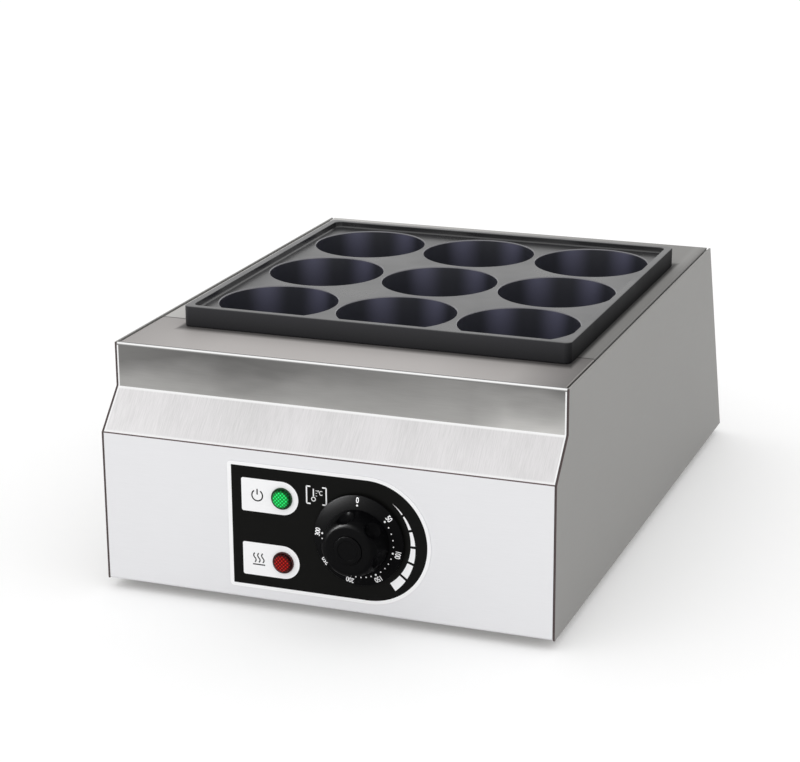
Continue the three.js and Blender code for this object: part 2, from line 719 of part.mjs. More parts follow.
// One hairpin element, with its two pins to the front
function heatingElement() {
  const corners = [
    V3(-HEATER_HALF_SPREAD, -HEATER_FRONT_REACH, HEATER_Z),
    V3(-HEATER_HALF_SPREAD, HEATER_BACK_REACH, HEATER_Z),
    V3(HEATER_HALF_SPREAD, HEATER_BACK_REACH, HEATER_Z),
    V3(HEATER_HALF_SPREAD, -HEATER_FRONT_REACH, HEATER_Z),
  ];
  const route = roundedRoute(corners, HEATER_HALF_SPREAD - SHEET, HEATER_BEND_STEPS);
  const sheath = solid(tube(route, HEATER_RADIUS, HEATER_SIDES));
  const pins = [-1, 1].map((side) => {
    const geometry = new THREE.CylinderGeometry(PIN_RADIUS, PIN_RADIUS, PIN_LENGTH + OVERRUN, PIN_SIDES);
    geometry.translate(side * HEATER_HALF_SPREAD, -HEATER_FRONT_REACH - (PIN_LENGTH - OVERRUN) / 2, HEATER_Z);
    return solid(geometry);
  });
  return join([sheath, ...pins]);
}

// The flat link between the near pins of two neighbouring elements
function heaterLink() {
  const span = WELL_PITCH - 2 * HEATER_HALF_SPREAD;
  const shape = roundedRectangle(span + LINK_WIDTH, LINK_WIDTH, LINK_WIDTH / 3);
  const strap = alongY(shape, 0, LINK_THICKNESS, CORNER_STEPS);
  const holes = [-1, 1].map((side) => {
    const geometry = new THREE.CylinderGeometry(PIN_RADIUS + GAP, PIN_RADIUS + GAP, OVERRUN, PIN_SIDES);
    geometry.translate(side * span / 2, 0, 0);
    return solid(geometry);
  });
  return cut(strap, holes);
}

function clampBar() {
  const reach = WELL_PITCH + HEATER_HALF_SPREAD + BAR_OVERHANG;
  const bar = block(V3(-reach, -BAR_WIDTH / 2, BAR_BOTTOM), V3(reach, BAR_WIDTH / 2, BAR_TOP));
  const padTop = CUP_BOTTOM - 2 * GAP - 2 * BULB_RADIUS;
  const pad = block(
    V3(-BULB_PAD_WIDTH / 2, -BAR_WIDTH / 2, BAR_BOTTOM),
    V3(BULB_PAD_WIDTH / 2, BAR_WIDTH / 2, padTop),
  );
  const hole = rod(STUD_RADIUS + HOLE_PLAY, BAR_BOTTOM - OVERRUN, BAR_TOP + OVERRUN, SMALL_SIDES);
  const holes = [-1, 1].map((side) => hole.translate([side * WELL_PITCH / 2, 0, 0]));
  return cut(bar.add(pad), holes);
}

function hexNut(flats, height, hole) {
  const shape = hexagon(flats);
  shape.holes.push(new THREE.Path(polygon(hole, SMALL_SIDES).getPoints()));
  return alongZ(shape, 0, height);
}

function heatTray() {
  const floor = TRAY_FLOOR;
  const out = TRAY_HALF + TRAY_SHEET;
  const shell = block(V3(-out, -out, floor - TRAY_SHEET), V3(out, out, TRAY_TOP));
  const rim = out + TRAY_FLANGE;
  const flange = block(V3(-rim, -rim, TRAY_TOP - TRAY_SHEET), V3(rim, rim, TRAY_TOP));
  const inside = block(V3(-TRAY_HALF, -TRAY_HALF, floor), V3(TRAY_HALF, TRAY_HALF, TRAY_TOP + OVERRUN));
  const wall = (x, z, radius) => {
    const geometry = new THREE.CylinderGeometry(radius, radius, 2 * OVERRUN, SMALL_SIDES);
    geometry.translate(x, -out, z);
    return solid(geometry);
  };
  const columns = [-1, 0, 1].flatMap((k) => {
    return [-1, 1].map((side) => k * WELL_PITCH + side * HEATER_HALF_SPREAD);
  });
  const legs = columns.map((x) => wall(x, HEATER_Z, HEATER_RADIUS + 2 * GAP));
  const sensor = wall(0, bulbZ(), CAPILLARY_RADIUS + 2 * GAP);
  return cut(shell.add(flange), [inside, ...legs, sensor]);
}

function bulbZ() {
  return CUP_BOTTOM - GAP - BULB_RADIUS;
}

function insulationBoard() {
  const half = TRAY_HALF - BOARD_EDGE_GAP;
  return block(V3(-half, -half, BOARD_BOTTOM), V3(half, half, BOARD_TOP));
}

function controlLabel() {
  const left = LABEL_LEFT;
  const [bottom, top] = [LABEL_CENTRE_Z - LABEL_HALF_HEIGHT, LABEL_CENTRE_Z + LABEL_HALF_HEIGHT];
  const shape = new THREE.Shape();
  shape.absarc(LABEL_ARC_X, LABEL_CENTRE_Z, LABEL_HALF_HEIGHT, -Math.PI / 2, Math.PI / 2);
  shape.absarc(left + LABEL_CORNER, top - LABEL_CORNER, LABEL_CORNER, Math.PI / 2, Math.PI);
  shape.absarc(left + LABEL_CORNER, bottom + LABEL_CORNER, LABEL_CORNER, Math.PI, 1.5 * Math.PI);
  const sheet = alongY(shape, -LABEL_FRONT, -FILM, ROUND_SIDES);
  return cut(sheet, faceHoles(M4_RADIUS * HEAD_RATIO + HOLE_PLAY));
}

// A pan-head screw with its head on top of height 0 and its shank below
function screw(radius, length) {
  const headRadius = radius * HEAD_RATIO;
  const headHeight = radius * HEAD_HEIGHT_RATIO;
  return turned([
    [0, -length], [radius, -length], [radius, 0], [headRadius, 0],
    [headRadius, headHeight / 2], [headRadius - headHeight / 2, headHeight], [0, headHeight],
  ], SMALL_SIDES);
}

function foot() {
  const top = BASE_Z - GAP;
  const bore = M5_RADIUS + HOLE_PLAY;
  return turned([
    [0, -FOOT_HEIGHT], [FOOT_RADIUS - FOOT_TAPER, -FOOT_HEIGHT], [FOOT_RADIUS, top],
    [bore, top], [bore, top - FOOT_BORE_DEPTH], [0, top - FOOT_BORE_DEPTH],
  ], ROUND_SIDES);
}

// Shapes of the knob, made along +Z outwards from the panel
function knobDial() {
  const hole = SKIRT_HUB_RADIUS + GAP;
  return turned([
    [hole, SKIRT_BACK], [SKIRT_RADIUS, SKIRT_BACK], [SKIRT_RADIUS, SKIRT_BACK + SKIRT_RIM],
    [GRIP_RADIUS, SKIRT_BACK + SKIRT_THICKNESS], [hole, SKIRT_BACK + SKIRT_THICKNESS], [hole, SKIRT_BACK],
  ], DIAL_SIDES);
}

function knobGrip() {
  const shoulder = GRIP_FRONT - GRIP_EDGE;
  const edge = [];
  for (let k = 0; k <= CORNER_STEPS; k += 1) {
    const angle = Math.PI / 2 * k / CORNER_STEPS;
    const radius = GRIP_FRONT_RADIUS - GRIP_EDGE * (1 - Math.cos(angle));
    edge.push([radius, shoulder + GRIP_EDGE * Math.sin(angle)]);
  }
  const recess = CAP_RADIUS + GAP;
  const recessFloor = GRIP_FRONT + CAP_PROUD - CAP_THICKNESS - GAP;
  const boreEnd = GRIP_BACK + SHAFT_GRIP + GAP;
  const bore = SHAFT_RADIUS + GAP;
  const body = turned([
    [bore, SKIRT_BACK], [SKIRT_HUB_RADIUS, SKIRT_BACK],
    [SKIRT_HUB_RADIUS, GRIP_BACK], [GRIP_RADIUS, GRIP_BACK], ...edge,
    [recess, GRIP_FRONT], [recess, recessFloor], [0, recessFloor], [0, boreEnd], [bore, boreEnd],
    [bore, SKIRT_BACK],
  ], KNOB_SIDES);
  const scallops = Array.from({ length: SCALLOPS }, (_, k) => {
    const geometry = new THREE.SphereGeometry(SCALLOP_RADIUS, SMALL_SIDES, SMALL_SIDES / 2);
    geometry.scale(1, 1, SCALLOP_STRETCH_SHARE);
    geometry.translate(0, GRIP_FRONT_RADIUS + SCALLOP_SETOUT, shoulder);
    geometry.rotateZ(THREE.MathUtils.degToRad(-SCALLOP_TURN) + 2 * Math.PI * k / SCALLOPS);
    return solid(geometry);
  });
  return cut(body, scallops);
}

function knobCap() {
  const [back, front] = [KNOB_REACH - CAP_THICKNESS, KNOB_REACH];
  const edge = CAP_PROUD / 2;
  const side = [[CAP_RADIUS, back], [CAP_RADIUS, front - edge], [CAP_RADIUS - edge, front]];
  return turned([[0, back], ...side, [0, front]], ROUND_SIDES);
}

function thermostatShaft() {
  const back = -(SHEET + GAP + THERMOSTAT_TAB + SHAFT_ROOT);
  return rod(SHAFT_RADIUS, back, GRIP_BACK + SHAFT_GRIP, SMALL_SIDES);
}

function thermostatBody() {
  const front = -(SHEET + GAP);
  const half = (width, height) => [V2(-width / 2, -height / 2), V2(width / 2, height / 2)];
  const slab = (width, height, low, high) => {
    const [a, b] = half(width, height);
    return block(V3(a.x, a.y, low), V3(b.x, b.y, high));
  };
  const tab = slab(THERMOSTAT_TAB_WIDTH, THERMOSTAT_TAB_HEIGHT, front - THERMOSTAT_TAB, front);
  const boxFront = front - THERMOSTAT_TAB / 2;
  const box = slab(THERMOSTAT_WIDTH, THERMOSTAT_HEIGHT, boxFront - THERMOSTAT_DEPTH, boxFront);
  const boxBack = boxFront - THERMOSTAT_DEPTH;
  const diaphragm = rod(DIAPHRAGM_RADIUS, boxBack - DIAPHRAGM_DEPTH, boxBack + THERMOSTAT_TAB, ROUND_SIDES);
  const blades = [-1, 1].map((side) => {
    const x = side * BLADE_SPREAD / 2;
    const low = V3(x - BLADE_WIDTH / 2, -BLADE_DROP - BLADE_THICKNESS, boxBack - BLADE_LENGTH);
    return block(low, V3(x + BLADE_WIDTH / 2, -BLADE_DROP, boxBack + THERMOSTAT_TAB));
  });
  const boreBottom = front - THERMOSTAT_TAB - SHAFT_ROOT - GAP;
  const bore = rod(SHAFT_RADIUS + GAP, boreBottom, front + OVERRUN, SMALL_SIDES);
  const holes = [-1, 1].map((side) => {
    const hole = rod(M4_RADIUS + HOLE_PLAY, boxBack, front + OVERRUN, SMALL_SIDES);
    return hole.translate([side * TAB_SCREW_SPREAD / 2, 0, 0]);
  });
  return cut(join([tab, box, diaphragm, ...blades]), [bore, ...holes]);
}

// Shapes of the lamps, made along +Z outwards from the panel
function lampBody() {
  const bore = LENS_STEM_RADIUS + GAP;
  const back = LABEL_FRONT + FILM;
  const front = back + BEZEL_THICKNESS;
  const seat = LENS_RADIUS + GAP;
  const floor = back + BEZEL_THICKNESS / 2;
  const end = -SHEET - BARREL_LENGTH;
  const edge = BEZEL_THICKNESS / 3;
  return turned([
    [0, end], [BARREL_RADIUS, end], [BARREL_RADIUS, back], [BEZEL_RADIUS, back], [BEZEL_RADIUS, front - edge],
    [BEZEL_RADIUS - edge, front], [seat, front], [seat, floor], [bore, floor],
    [bore, floor - LENS_STEM - GAP], [0, floor - LENS_STEM - GAP],
  ], ROUND_SIDES);
}

function lampLens() {
  const base = LABEL_FRONT + FILM + BEZEL_THICKNESS / 2 + GAP;
  const dome = [];
  for (let k = 0; k < CORNER_STEPS; k += 1) {
    const angle = Math.PI / 2 * k / CORNER_STEPS;
    const rise = LENS_WALL + (LENS_RISE - LENS_WALL) * Math.sin(angle);
    dome.push([LENS_RADIUS * Math.cos(angle), base + rise]);
  }
  const stem = [[0, base - LENS_STEM], [LENS_STEM_RADIUS, base - LENS_STEM], [LENS_STEM_RADIUS, base]];
  return turned([...stem, [LENS_RADIUS, base], ...dome, [0, base + LENS_RISE]], ROUND_SIDES);
}

function lampClip() {
  const front = -(SHEET + GAP);
  const hole = BARREL_RADIUS + GAP;
  const back = front - CLIP_THICKNESS;
  const ring = [[hole, back], [CLIP_RADIUS, back], [CLIP_RADIUS, front], [hole, front], [hole, back]];
  return turned(ring, ROUND_SIDES);
}

// Shapes of the cable gland, made along +Z outwards from the back
function glandBody() {
  const flange = alongZ(hexagon(GLAND_FLATS), GAP, GAP + GLAND_FLANGE);
  const barrelEnd = GAP + GLAND_FLANGE + GLAND_OUTER_LENGTH;
  const barrel = rod(GLAND_BARREL, -SHEET - GLAND_INNER_LENGTH, barrelEnd, ROUND_SIDES);
  const bore = rod(GLAND_BORE, -SHEET - GLAND_INNER_LENGTH - OVERRUN, barrelEnd + OVERRUN, SMALL_SIDES);
  return cut(flange.add(barrel), [bore]);
}

function glandNut() {
  const back = 2 * GAP + GLAND_FLANGE;
  const front = back + GLAND_NUT_LENGTH;
  const seat = GLAND_BARREL + GAP;
  const stop = back + GLAND_OUTER_LENGTH + GAP;
  const dome = front - GLAND_NUT_LENGTH / 3;
  return turned([
    [seat, back], [GLAND_NUT_RADIUS, back], [GLAND_NUT_RADIUS, dome],
    [GLAND_BARREL, front], [GLAND_BORE, front], [GLAND_BORE, stop], [seat, stop], [seat, back],
  ], ROUND_SIDES);
}

function terminalBlock() {
  const [w, d] = [BLOCK_WIDTH / 2, BLOCK_DEPTH / 2];
  const base = block(V3(-w, -d, 0), V3(w, d, BLOCK_HEIGHT));
  const steps = [-1, 1].map((side) => {
    const ys = [side * (d - BLOCK_LEDGE_WIDTH), side * (d + OVERRUN)].sort((a, b) => a - b);
    return block(V3(-w - OVERRUN, ys[0], BLOCK_LEDGE_HEIGHT), V3(w + OVERRUN, ys[1], BLOCK_HEIGHT + OVERRUN));
  });
  const slots = Array.from({ length: BLOCK_POLE_COUNT - 1 }, (_, k) => {
    const x = (k + 1) * BLOCK_WIDTH / BLOCK_POLE_COUNT - w;
    const low = V3(x - BLOCK_SLOT / 2, -d - OVERRUN, BLOCK_LEDGE_HEIGHT / 2);
    return block(low, V3(x + BLOCK_SLOT / 2, d + OVERRUN, BLOCK_HEIGHT + OVERRUN));
  });
  return cut(base, [...steps, ...slots]);
}

// Cabinet
place(cabinet, 'front_cover', frontCover(), paleFace);
place(cabinet, 'left_side_panel', sidePanel(-1), sideSteel);
place(cabinet, 'right_side_panel', sidePanel(1), sideSteel);
place(cabinet, 'rear_panel', rearPanel(), sideSteel);
place(cabinet, 'base_plate', basePlate(), innerSteel);
place(cabinet, 'top_plate', topPlate(), brushedSteel);

// Mould and heating
const mould = subgroup(cabinet, MOULD_OFFSET, MOULD_Y, MOULD_Z);
place(mould, 'mould_plate', mouldPlate(), nonstick);
['left', 'middle', 'right'].forEach((word, k) => {
  place(mould, `heating_element_${word}`, heatingElement(), elementSteel, (k - 1) * WELL_PITCH);
});
['left', 'right'].forEach((word, k) => {
  const y = -HEATER_FRONT_REACH - LINK_INSET - LINK_THICKNESS;
  place(mould, `heater_link_${word}`, heaterLink(), zinc, (k - 0.5) * WELL_PITCH, y, HEATER_Z);
});
['front', 'rear'].forEach((word, k) => {
  place(mould, `clamp_bar_${word}`, clampBar(), innerSteel, 0, (k - 0.5) * WELL_PITCH);
});
const studTop = BOSS_BOTTOM + STUD_GRIP;
overStuds((x, y) => ({ x, y })).forEach(({ x, y }, k) => {
  place(mould, `mould_stud_${k + 1}`, rod(STUD_RADIUS, STUD_BOTTOM, studTop, SMALL_SIDES), zinc, x, y);
  place(mould, `stud_nut_${k + 1}`, hexNut(NUT_FLATS, NUT_HEIGHT, STUD_RADIUS + GAP), zinc, x, y, NUT_BOTTOM);
});
place(mould, 'heat_tray', heatTray(), innerSteel);
place(mould, 'insulation_board', insulationBoard(), boardGrey);

// Control face
const outward = Math.PI / 2;
place(cabinet, 'control_label', controlLabel(), labelBlack);
const knob = subgroup(cabinet, KNOB_X, 0, KNOB_Z);
knob.rotation.x = outward;
place(knob, 'thermostat_body', thermostatBody(), ceramic);
place(knob, 'thermostat_shaft', thermostatShaft(), zinc);
place(knob, 'knob_dial', knobDial(), knobBlack);
place(knob, 'knob_grip', knobGrip(), knobBlack);
place(knob, 'knob_cap', knobCap(), knobBlack);
[-1, 1].forEach((side, k) => {
  const body = screw(M4_RADIUS, SHEET + GAP + THERMOSTAT_TAB + M4_RADIUS);
  place(knob, `thermostat_screw_${k + 1}`, body, zinc, side * TAB_SCREW_SPREAD / 2, 0, GAP);
});
['power', 'heat'].forEach((word, k) => {
  const lamp = subgroup(cabinet, LAMP_X, 0, LAMP_Z[k]);
  lamp.rotation.x = outward;
  place(lamp, `${word}_lamp_body`, lampBody(), nylon);
  place(lamp, `${word}_lamp_lens`, lampLens(), k === 0 ? greenLens : redLens);
  place(lamp, `${word}_lamp_clip`, lampClip(), nylon);
});

// Temperature sensor
const bulbFront = MOULD_Y - BULB_FRONT;
const sensorZ = MOULD_Z + bulbZ();
const bulb = rod(BULB_RADIUS, 0, BULB_LENGTH, SMALL_SIDES).rotate([-90, 0, 0]);
place(cabinet, 'sensor_bulb', bulb, copper, MOULD_OFFSET, bulbFront, sensorZ);
const diaphragmBack = SHEET + GAP + THERMOSTAT_TAB / 2 + THERMOSTAT_DEPTH + DIAPHRAGM_DEPTH;
const capillaryRun = diaphragmBack + CAPILLARY_SET_BACK + CAPILLARY_BEND;
const capillaryCorners = [
  V3(MOULD_OFFSET, bulbFront - GAP, sensorZ),
  V3(MOULD_OFFSET, capillaryRun, sensorZ),
  V3(KNOB_X, capillaryRun, KNOB_Z),
  V3(KNOB_X, diaphragmBack + GAP, KNOB_Z),
];
const capillaryRoute = roundedRoute(capillaryCorners, CAPILLARY_BEND, CORNER_STEPS);
place(cabinet, 'capillary_tube', tube(capillaryRoute, CAPILLARY_RADIUS, WIRE_SIDES), copper);

// Feet
footPlaces().forEach(({ x, y }, k) => {
  const word = ['front_left', 'front_right', 'rear_left', 'rear_right'][k];
  place(cabinet, `foot_${word}`, foot(), rubber, x, y);
  const length = BASE_TOP - BASE_Z + 2 * GAP + FOOT_BORE_DEPTH - M5_RADIUS;
  place(cabinet, `foot_screw_${word}`, screw(M5_RADIUS, length), zinc, x, y, BASE_TOP + GAP);
});

// Back
function rearGroup(x, height) {
  const spot = onRear(height);
  const nested = subgroup(cabinet, x, spot.y, spot.z);
  nested.rotation.x = LEAN - Math.PI / 2;
  return nested;
}

REAR_SCREW_HEIGHTS.forEach((height, row) => {
  [-1, 1].forEach((side, k) => {
    const word = `${['lower', 'upper'][row]}_${['left', 'right'][k]}`;
    const spot = rearGroup(side * rearScrewX(), height);
    place(spot, `rear_screw_${word}`, screw(M4_RADIUS, REAR_SCREW_LENGTH), zinc, 0, 0, GAP);
  });
});
const gland = rearGroup(GLAND_X, GLAND_HEIGHT);
place(gland, 'cable_gland', glandBody(), nylon);
place(gland, 'gland_nut', glandNut(), nylon);
const locknut = hexNut(GLAND_FLATS, LOCKNUT_HEIGHT, GLAND_BARREL + GAP);
place(gland, 'gland_locknut', locknut, nylon, 0, 0, -SHEET - GAP - LOCKNUT_HEIGHT);

// Wiring
const blockY = BASE_DEPTH - BLOCK_BACK_INSET;
const blockZ = BASE_TOP + GAP;
place(cabinet, 'terminal_block', terminalBlock(), ceramic, BLOCK_X, blockY, blockZ);
const wireStart = (pole) => V3(
  BLOCK_X + (pole - 1) * BLOCK_WIDTH / BLOCK_POLE_COUNT,
  blockY - BLOCK_DEPTH / 2 - GAP,
  blockZ + BLOCK_LEDGE_HEIGHT / 2,
);
const bladeZ = KNOB_Z - BLADE_DROP - BLADE_THICKNESS / 2;
const bladeBack = SHEET + GAP + THERMOSTAT_TAB / 2 + THERMOSTAT_DEPTH + BLADE_LENGTH + GAP;
const pinFront = MOULD_Y - HEATER_FRONT_REACH - PIN_LENGTH - GAP;
const pinX = (side) => MOULD_OFFSET + side * (WELL_PITCH + HEATER_HALF_SPREAD);
const pinZ = MOULD_Z + HEATER_Z;
const bladeX = (side) => KNOB_X + side * BLADE_SPREAD / 2;
const turnY = bladeBack + WIRE_TURN_BACK;
const farY = turnY + WIRE_TURN_BACK;
const riseY = pinFront - WIRE_TURN_BACK;
const crossZ = WIRE_HEIGHT + CROSS_HEIGHT;
const routes = {
  live_wire: [
    wireStart(1), wireStart(1).setY(turnY), V3(bladeX(-1), turnY, bladeZ), V3(bladeX(-1), bladeBack, bladeZ),
  ],
  heater_wire: [
    V3(bladeX(1), bladeBack, bladeZ), V3(bladeX(1), turnY, bladeZ), V3(pinX(1), turnY, crossZ),
    V3(pinX(1), riseY, pinZ - CROSS_HEIGHT), V3(pinX(1), riseY, pinZ), V3(pinX(1), pinFront, pinZ),
  ],
  neutral_wire: [
    wireStart(0), wireStart(0).setY(farY), V3(pinX(-1), farY, WIRE_HEIGHT),
    V3(pinX(-1), riseY, WIRE_HEIGHT), V3(pinX(-1), riseY, pinZ), V3(pinX(-1), pinFront, pinZ),
  ],
};
for (const [name, corners] of Object.entries(routes)) {
  const geometry = tube(roundedRoute(corners, WIRE_BEND, WIRE_BEND_STEPS), WIRE_RADIUS, WIRE_SIDES);
  place(cabinet, name, geometry, name === 'neutral_wire' ? neutralWire : liveWire);
}

export default group;
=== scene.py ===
"""An electric egg burger maker for a worktop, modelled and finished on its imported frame."""

import json
import math
from contextlib import contextmanager

import bmesh
import bpy
from bpy.props import FloatProperty, FloatVectorProperty, IntProperty, PointerProperty
from bpy.types import Operator, Panel, PropertyGroup
from mathutils import Matrix, Vector


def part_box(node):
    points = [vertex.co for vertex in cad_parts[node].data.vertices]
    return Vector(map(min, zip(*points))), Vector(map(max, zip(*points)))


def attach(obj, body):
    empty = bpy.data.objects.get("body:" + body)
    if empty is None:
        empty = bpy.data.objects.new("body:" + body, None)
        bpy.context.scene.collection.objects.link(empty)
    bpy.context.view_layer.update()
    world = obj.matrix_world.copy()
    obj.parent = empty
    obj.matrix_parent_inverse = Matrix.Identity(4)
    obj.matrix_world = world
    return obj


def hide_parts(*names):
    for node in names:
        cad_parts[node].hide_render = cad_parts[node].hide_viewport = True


bl_info = {
    "name": "Egg Burger Maker",
    "version": (1, 0, 0),
    "blender": (4, 5, 0),
    "location": "3D View > Sidebar > Egg Burger Maker",
    "description": "Models and finishes a nine-well egg burger maker on its packed frame",
    "category": "Add Mesh",
}

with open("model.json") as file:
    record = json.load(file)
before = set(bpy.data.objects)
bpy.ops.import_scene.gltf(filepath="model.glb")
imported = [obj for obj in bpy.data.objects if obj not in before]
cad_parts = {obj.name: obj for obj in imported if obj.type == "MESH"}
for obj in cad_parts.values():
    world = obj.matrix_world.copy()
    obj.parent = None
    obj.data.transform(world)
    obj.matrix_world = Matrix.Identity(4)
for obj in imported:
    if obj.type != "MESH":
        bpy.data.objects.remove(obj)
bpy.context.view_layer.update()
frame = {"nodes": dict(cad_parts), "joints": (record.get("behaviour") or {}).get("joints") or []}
NODES = frame["nodes"]
KNOB_JOINT = frame["joints"][0]

CABINET = "cabinet"
KNOB = "knob"
GLOSSY_PIECES = "glossy mouldings"
NEAR = 2e-5
MERGE = 1e-6
CLEARANCE = 3e-4
OVERRUN = 0.005
SMOOTH_ANGLE = math.radians(34)
QUARTER_TURN = math.pi / 2
FULL_TURN = 2 * math.pi
UP = Vector((0, 0, 1))
FRONT = Vector((0, -1, 0))
RIGHT = Vector((1, 0, 0))
WHITE = (1, 1, 1)


def length(name, text, default):
    """A size that a user can change, in metres."""
    return FloatProperty(name=name, description=text, default=default, min=0, precision=5, unit="LENGTH")


def share(name, text, default):
    """A ratio that a user can change."""
    return FloatProperty(name=name, description=text, default=default, min=0, precision=3)


def angle(name, text, degrees):
    """An angle that a user can change, given here in degrees."""
    return FloatProperty(name=name, description=text, default=math.radians(degrees), subtype="ANGLE")


def place(name, text, default):
    """A place that a user can change, in metres."""
    return FloatVectorProperty(
        name=name, description=text, default=default, size=3, subtype="XYZ", unit="LENGTH"
    )


def tone(name, text, screen):
    """A colour that a user can change, given by its 8-bit screen values."""
    linear = [((v / 255 + 0.055) / 1.055) ** 2.4 if v > 10 else v / 255 / 12.92 for v in screen]
    return FloatVectorProperty(
        name=name, description=text, default=linear, size=3, subtype="COLOR", min=0, max=1
    )


def count(name, text, default):
    """A number of steps or copies that a user can change."""
    return IntProperty(name=name, description=text, default=default, min=1)


class CabinetSizes(PropertyGroup):
    """Sizes of the folded sheet cabinet and its feet."""

    face_height: length("Face height", "Height of the upright control face", 0.1155)
    slope_height: length("Slope height", "Height of the sloping strip above the control face", 0.0285)
    setback: length("Band setback", "How far the upper band stands behind the control face", 0.0265)
    cover_lip: length("Cover lip", "Depth of the lip under the control face", 0.015)
    sheet: length("Sheet", "Thickness of the cover and top sheet", 0.0012)
    side_sheet: length("Side sheet", "Thickness of the side panels", 0.0015)
    bend: length("Bend", "Outer radius of a square bend", 0.0022)
    side_bend: share("Side bend", "Radius of the top's side bends, as a share of a square bend's", 0.6)
    slope_bend: length("Slope bend", "Width of the bends beside the slope", 0.0008)
    top_lip: length("Top lip", "Depth of the lips along the top's two sides", 0.006)
    flange: length("Flange", "Width of the panels' inner flanges", 0.012)
    ledge: length("Ledge", "Width of the ledge under the top's lips", 0.008)
    ledge_drop: length("Ledge drop", "Depth of the ledge below the top", 0.0063)
    back_run: length("Back run", "How far the base reaches behind the top", 0.064)
    edge: length("Edge", "Rounding of cut sheet edges", 0.0003)
    # Painted highlight: width of the bright line painted down the cover's two ends.
    end_highlight_width: length("Bright edge", "Width of the bright line down the cover's two ends", 0.0013)
    opening_margin: length("Opening margin", "Room between the cups and the opening", 0.0015)
    lamp_hole: share("Lamp hole", "Width of a lamp's hole, as a share of its bezel's", 0.77)
    screw_hole: share("Screw hole", "Width of a screw's hole, as a share of its head's", 0.62)
    shaft_hole: share("Shaft hole", "Width of the shaft's hole, as a share of the shaft's", 1.4)
    rear_hole: length("Rear hole", "Radius of the holes for the rear screws", 0.002375)
    foot_taper: length("Foot taper", "How much narrower a foot is at the floor", 0.002)
    foot_groove: length("Foot groove", "Depth of the rings under a foot", 0.0008)
    foot_bore: length("Foot bore", "Radius of the hole down a foot", 0.0028)


class MouldSizes(PropertyGroup):
    """Sizes of the cast mould."""

    rim_height: length("Rim height", "Height of the outer wall", 0.0157)
    rim_width: length("Rim width", "Width of the rim", 0.0055)
    recess: length("Recess", "Depth of the deck below the rim", 0.0051)
    deck: length("Deck", "Thickness of the deck", 0.005)
    corner: length("Corner", "Radius of the outer corners", 0.005)
    inner_corner: length("Inner corner", "Radius of the recess's corners", 0.006)
    edge: length("Edge", "Rounding of the rim", 0.0007)
    deck_fillet: length("Deck fillet", "Fillet round the deck", 0.0015)
    well_radius: length("Well radius", "Radius of a well at the deck", 0.0457)
    well_pitch: length("Well pitch", "Distance between wells", 0.0965)
    well_depth: length("Well depth", "Depth of a well below the deck", 0.032)
    well_draft: length("Well draft", "How much narrower a well is at its floor", 0.002)
    well_fillet: length("Well fillet", "Fillet round a well's floor", 0.004)
    lip: length("Well lip", "Rounding of a well's edge", 0.0009)
    cup_wall: length("Cup wall", "Wall of a cup under the deck", 0.0024)
    boss_radius: length("Boss radius", "Radius of the four bosses under the deck", 0.007)
    boss_length: length("Boss length", "Length of the four bosses", 0.018)
    bore_radius: length("Bore radius", "Radius of the studs' bores", 0.0033)
    bore_depth: length("Bore depth", "Depth of the studs' bores", 0.0123)
    rows: count("Rows", "Wells along each side", 3)
    well_steps: count("Well steps", "Steps round a well", 112)


